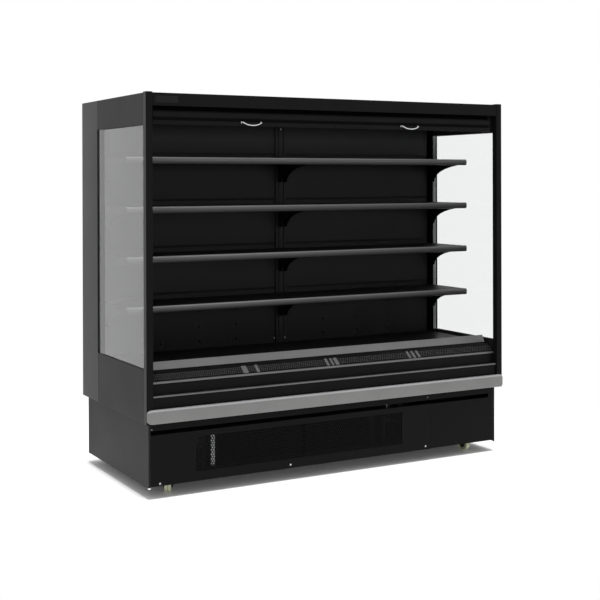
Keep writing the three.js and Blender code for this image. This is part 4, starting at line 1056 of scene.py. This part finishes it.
def makeCastor(place):
    joints = {joint["name"]: joint for joint in frame["joints"]}
    swivel, spin = joints[f"{place}_castor_swivel"], joints[f"{place}_wheel_spin"]
    x, y = swivel["pos_m"][:2]
    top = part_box(f"{place}_castor_fork")[1].z
    turn = atan2(spin["axis"][1], spin["axis"][0])
    seat = Matrix.Translation((x, y, 0)) @ Matrix.Rotation(turn, 4, "Z")
    half, radius, trail = castor["wheelHalf"], castor["wheelRadius"], castor["trail"]
    inside = half + 0.001
    outside = inside + castor["leg"]
    front = castor["legFront"]

    bm = bmesh.new()
    plate = castor["plate"]
    addBox(bm, (-plate, -plate, top - castor["plateThick"]), (plate, plate, top), 0.001, 2)
    addSpin(bm, castor["race"], (0, 0, top), (0, 0, 1), 36)
    addBox(bm, (-outside, -trail, top - 0.0195), (outside, front, top - 0.0165), 0.001, 2)
    outline = [(-trail, top - 0.018), *arc(trail, radius, castor["legRound"], 205, 345, 8), (front, top - 0.018)]
    for side in (-1, 1):
        addProfile(bm, outline, side * inside, side * outside)
        for corner in (-1, 1):
            addSpin(bm, castor["bolt"], (side * castor["boltAt"], corner * castor["boltAt"], top), (0, 0, 1), 6)
        addSpin(bm, castor["nut"], (side * outside, trail, radius), (side, 0, 0), 6)
    addRod(bm, (-outside, trail, radius), (outside, trail, radius), castor["axle"], segments=16)
    makePiece(bm, f"{place}_castor_frame", "forkSteel", f"{place}_fork", "bare_steel",
              (f"{place}_castor_fork",), matrix=seat)

    tread, curve = castor["tread"], castor["treadRound"]
    bm = bmesh.new()
    for centre in (-half / 2, half / 2):  # two treads with a groove between
        wide = half / 2 - 0.0008
        profile = [(radius - tread, centre - wide), (radius - curve, centre - wide),
                   *arc(radius - curve, centre - wide + curve, curve, -70, -10, 2),
                   *arc(radius - curve, centre + wide - curve, curve, 10, 70, 2),
                   (radius - curve, centre + wide), (radius - tread, centre + wide)]
        addSpin(bm, profile, (0, trail, radius), (1, 0, 0), 40, closed=True)
    makePiece(bm, f"{place}_castor_tyre", "tyreRubber", f"{place}_wheel", "castor_tyre",
              (f"{place}_castor_wheel",), sharp=45, matrix=seat)

    bm = bmesh.new()
    rim = radius - tread + 0.0003
    profile = [(0.0052, -half + 0.001), (0.010, -half + 0.001), (0.011, -half + 0.004), (rim - 0.003, -half + 0.004),
               (rim - 0.0022, -half + 0.001), (rim, -half + 0.001)]
    profile += [(out, -along) for out, along in reversed(profile)]
    addSpin(bm, profile, (0, trail, radius), (1, 0, 0), 40, closed=True)
    makePiece(bm, f"{place}_castor_hub", "hubPlastic", f"{place}_wheel", "castor_tyre", sharp=45, matrix=seat)


for place in ("front_left", "front_right", "rear_left", "rear_right"):
    makeCastor(place)
print("castors made")


# cold machinery

coil = {"finPitch": 0.0055, "finThick": 0.0009, "finStart": 0.024, "finRight": 0.250, "finMargin": 0.008,
        "tube": 0.0048, "rows": 5, "rowPitch": 0.027, "firstRow": 0.025, "bendY": 0.026, "plate": 0.022}


def makeCondenser():
    low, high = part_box("condenser_coil")
    recoat("condenser_coil", "coilCoat")
    finRight, inset = coil["finRight"], coil["finMargin"]
    starts = [low.x + coil["finStart"] + i * coil["finPitch"]
              for i in range(int((finRight - low.x - 0.05) / coil["finPitch"]))]
    makeBoxes("condenser_fins", "coilCoat", [
        ((x, low.y + 0.001, low.z + inset), (x + coil["finThick"], low.y + 0.02, high.z - inset)) for x in starts
    ], slot="coil_fins")
    makeBoxes("condenser_end_plate", "finAluminium", [
        ((low.x, low.y - 0.0012, low.z), (low.x + coil["plate"], low.y - 0.0002, high.z)),
    ], 0.0003, 1, slot="coil_fins")
    bm = bmesh.new()
    y = low.y + coil["bendY"]
    for side, x in ((-1, low.x), (1, finRight)):
        for i in range(coil["rows"]):
            z = low.z + coil["firstRow"] + i * coil["rowPitch"]
            route = [(x, y, z), (x + side * 0.006, y, z), (x + side * 0.016, y, z + 0.001),
                     (x + side * 0.016, y, z + 0.0125), (x + side * 0.006, y, z + 0.0135), (x, y, z + 0.0135)]
            addTube(bm, route, coil["tube"], 3, 5)
    makePiece(bm, "condenser_bends", "coilCoat", slot="coil_fins")


makeCondenser()

can = {"radius": 0.082, "footRound": 0.014, "rim": 0.004, "rimFrom": 0.53, "rimTo": 0.57, "domeFrom": 0.62,
       "centre": 0.0861, "baseHalf": 0.0574, "padX": 0.088, "padY": 0.044, "boxHalf": 0.03, "boxFoot": 0.09,
       "boxTop": 0.15}


def makeCompressor():
    low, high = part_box("compressor")
    x, y, z = (low.x + high.x) / 2, low.y + can["centre"], low.z
    radius, curve, rim = can["radius"], can["footRound"], can["radius"] + can["rim"]
    height = high.z - low.z
    bm = bmesh.new()
    profile = [(0, 0.008), *arc(radius - curve, 0.022, curve, -90, 0, 3)]
    rimFrom, rimTo, domeFrom = (height * can[key] for key in ("rimFrom", "rimTo", "domeFrom"))
    profile += [(radius, rimFrom - height * 0.01), (rim, rimFrom), (rim, rimTo),
                (radius - 0.001, rimTo + height * 0.02)]
    profile += arc(0, domeFrom, radius - 0.002, 0, 90, 6, height - domeFrom)
    addSpin(bm, profile, (x, y, z), (0, 0, 1), 48)
    addBox(bm, (low.x, y - can["baseHalf"], z), (high.x, y + can["baseHalf"], z + 0.004), 0.0015, 2)
    for side in (-1, 1):
        for end in (-1, 1):
            padX, padY = x + side * can["padX"], y + end * can["padY"]
            addRod(bm, (padX, padY, z + 0.004), (padX, padY, z + 0.014), 0.007, 0.006, 20)
    addBox(bm, (x - can["boxHalf"], low.y - 0.002, z + can["boxFoot"]),
           (x + can["boxHalf"], low.y + 0.02, z + can["boxTop"]), 0.004, 3)
    makePiece(bm, "compressor_can", "compressorCoat", slot="black_steel", replaces=("compressor",))


makeCompressor()
recoat("condenser_fan", "blackPlastic")
recoat("evaporator_coil", "finAluminium")
print("machinery made")


# room, light and camera

room = {"size": 30.0, "albedo": 0.97, "nearRing": 1.4, "farRing": 2.3, "nearGlow": 0.04, "worldGlow": 0.62}


def addSeen(tree):  # 1 for what the camera sees, also in reflections and through glass
    path = addNode(tree, "ShaderNodeLightPath").outputs
    seen = addMath(tree, "MAXIMUM", path["Is Camera Ray"], path["Is Glossy Ray"])
    return addMath(tree, "MAXIMUM", seen, path["Is Transmission Ray"])


def makeFloor():
    bm = bmesh.new()
    bmesh.ops.create_grid(bm, x_segments=1, y_segments=1, size=room["size"])
    mesh = bpy.data.meshes.new("floor")
    bm.to_mesh(mesh)
    bm.free()
    look = {"colour": (room["albedo"],) * 3, "specular": 0.0}
    material, tree, shader, vector = startMaterial("floorWhite", look)
    feed(tree, shader.inputs["Base Color"], look["colour"])
    feed(tree, shader.inputs["Roughness"], 0.9)
    reach = addNode(tree, "ShaderNodeVectorMath", {0: vector}, operation="LENGTH").outputs["Value"]
    ring = addRange(tree, reach, room["nearRing"], room["farRing"], room["nearGlow"], 1.0)
    glow = addNode(tree, "ShaderNodeEmission")
    mix = addNode(tree, "ShaderNodeMixShader", {
        0: addMath(tree, "MULTIPLY", addSeen(tree), ring), 1: shader.outputs[0], 2: glow.outputs[0],
    })
    feed(tree, tree.nodes["Material Output"].inputs["Surface"], mix.outputs[0])
    mesh.materials.append(material)
    floor = bpy.data.objects.new("floor", mesh)
    scene.collection.objects.link(floor)


makeFloor()


def makeWorld():
    world = bpy.data.worlds.new("studio")
    scene.world = world
    world.use_nodes = True
    tree = world.node_tree
    shade = tree.nodes["Background"]
    feed(tree, shade.inputs["Color"], (1, 1, 1))
    feed(tree, shade.inputs["Strength"], room["worldGlow"])
    white = addNode(tree, "ShaderNodeBackground", {"Color": (1, 1, 1), "Strength": 1.0})
    mix = addNode(tree, "ShaderNodeMixShader", {0: addSeen(tree), 1: shade.outputs[0], 2: white.outputs[0]})
    feed(tree, tree.nodes["World Output"].inputs["Surface"], mix.outputs[0])


makeWorld()

lamps = {  # the floor has a far lamp of its own, right above, so that the shadow stays close
    "keyLamp": {"place": (-4.2, -4.0, 4.4), "aim": (0, 0, 0.9), "size": 3.2, "power": 110, "floor": "EXCLUDE"},
    "fillLamp": {"place": (4.0, -4.6, 3.0), "aim": (0, 0, 0.9), "size": 3.5, "power": 60, "floor": "EXCLUDE"},
    "topLamp": {"place": (0.0, 0.3, 5.2), "aim": (0, 0, 0), "size": 4.0, "power": 120, "floor": "EXCLUDE"},
    "floorLamp": {"place": (0, -0.6, 6.0), "aim": (0, 0, 0), "spread": 11.0, "power": 2.6, "floor": "INCLUDE"},
}
footPieces = ("left_base", "right_base", "kick", "base", "chassis", "insulated", "compressor")
for name, lamp in lamps.items():
    data = bpy.data.lights.new(name, "SUN" if "spread" in lamp else "AREA")
    data.energy = lamp["power"]
    if "spread" in lamp:
        data.angle = radians(lamp["spread"])
    else:
        data.size = lamp["size"]
    light = bpy.data.objects.new(name, data)
    scene.collection.objects.link(light)
    light.location = lamp["place"]
    light.rotation_euler = (Vector(lamp["aim"]) - Vector(lamp["place"])).to_track_quat("-Z", "Y").to_euler()
    light.visible_glossy = False
    reach = bpy.data.collections.new(f"{name}Reach")
    reach.objects.link(bpy.data.objects["floor"])
    reach.collection_objects[0].light_linking.link_state = lamp["floor"]
    light.light_linking.receiver_collection = reach
    if lamp["floor"] == "INCLUDE":  # only the foot of the cabinet draws the close shadow
        foot = bpy.data.collections.new("foot")
        for piece in scene.objects:
            if piece.name.startswith(footPieces) or "castor" in piece.name:
                foot.objects.link(piece)
        light.light_linking.blocker_collection = foot

view = {"place": (-3.116, -5.649, 1.520), "turn": -29.07, "tilt": 89.845, "roll": -0.158,
        "lens": 70.34, "shiftY": -0.1933}
cameraData = bpy.data.cameras.new("camera")
cameraData.lens = view["lens"]
cameraData.shift_y = view["shiftY"]
camera = bpy.data.objects.new("camera", cameraData)
scene.collection.objects.link(camera)
turned = Matrix.Rotation(radians(view["turn"]), 4, "Z") @ Matrix.Rotation(radians(view["tilt"]), 4, "X")
camera.matrix_world = Matrix.Translation(view["place"]) @ turned @ Matrix.Rotation(radians(view["roll"]), 4, "Z")
scene.camera = camera
scene.view_settings.view_transform = "Standard"
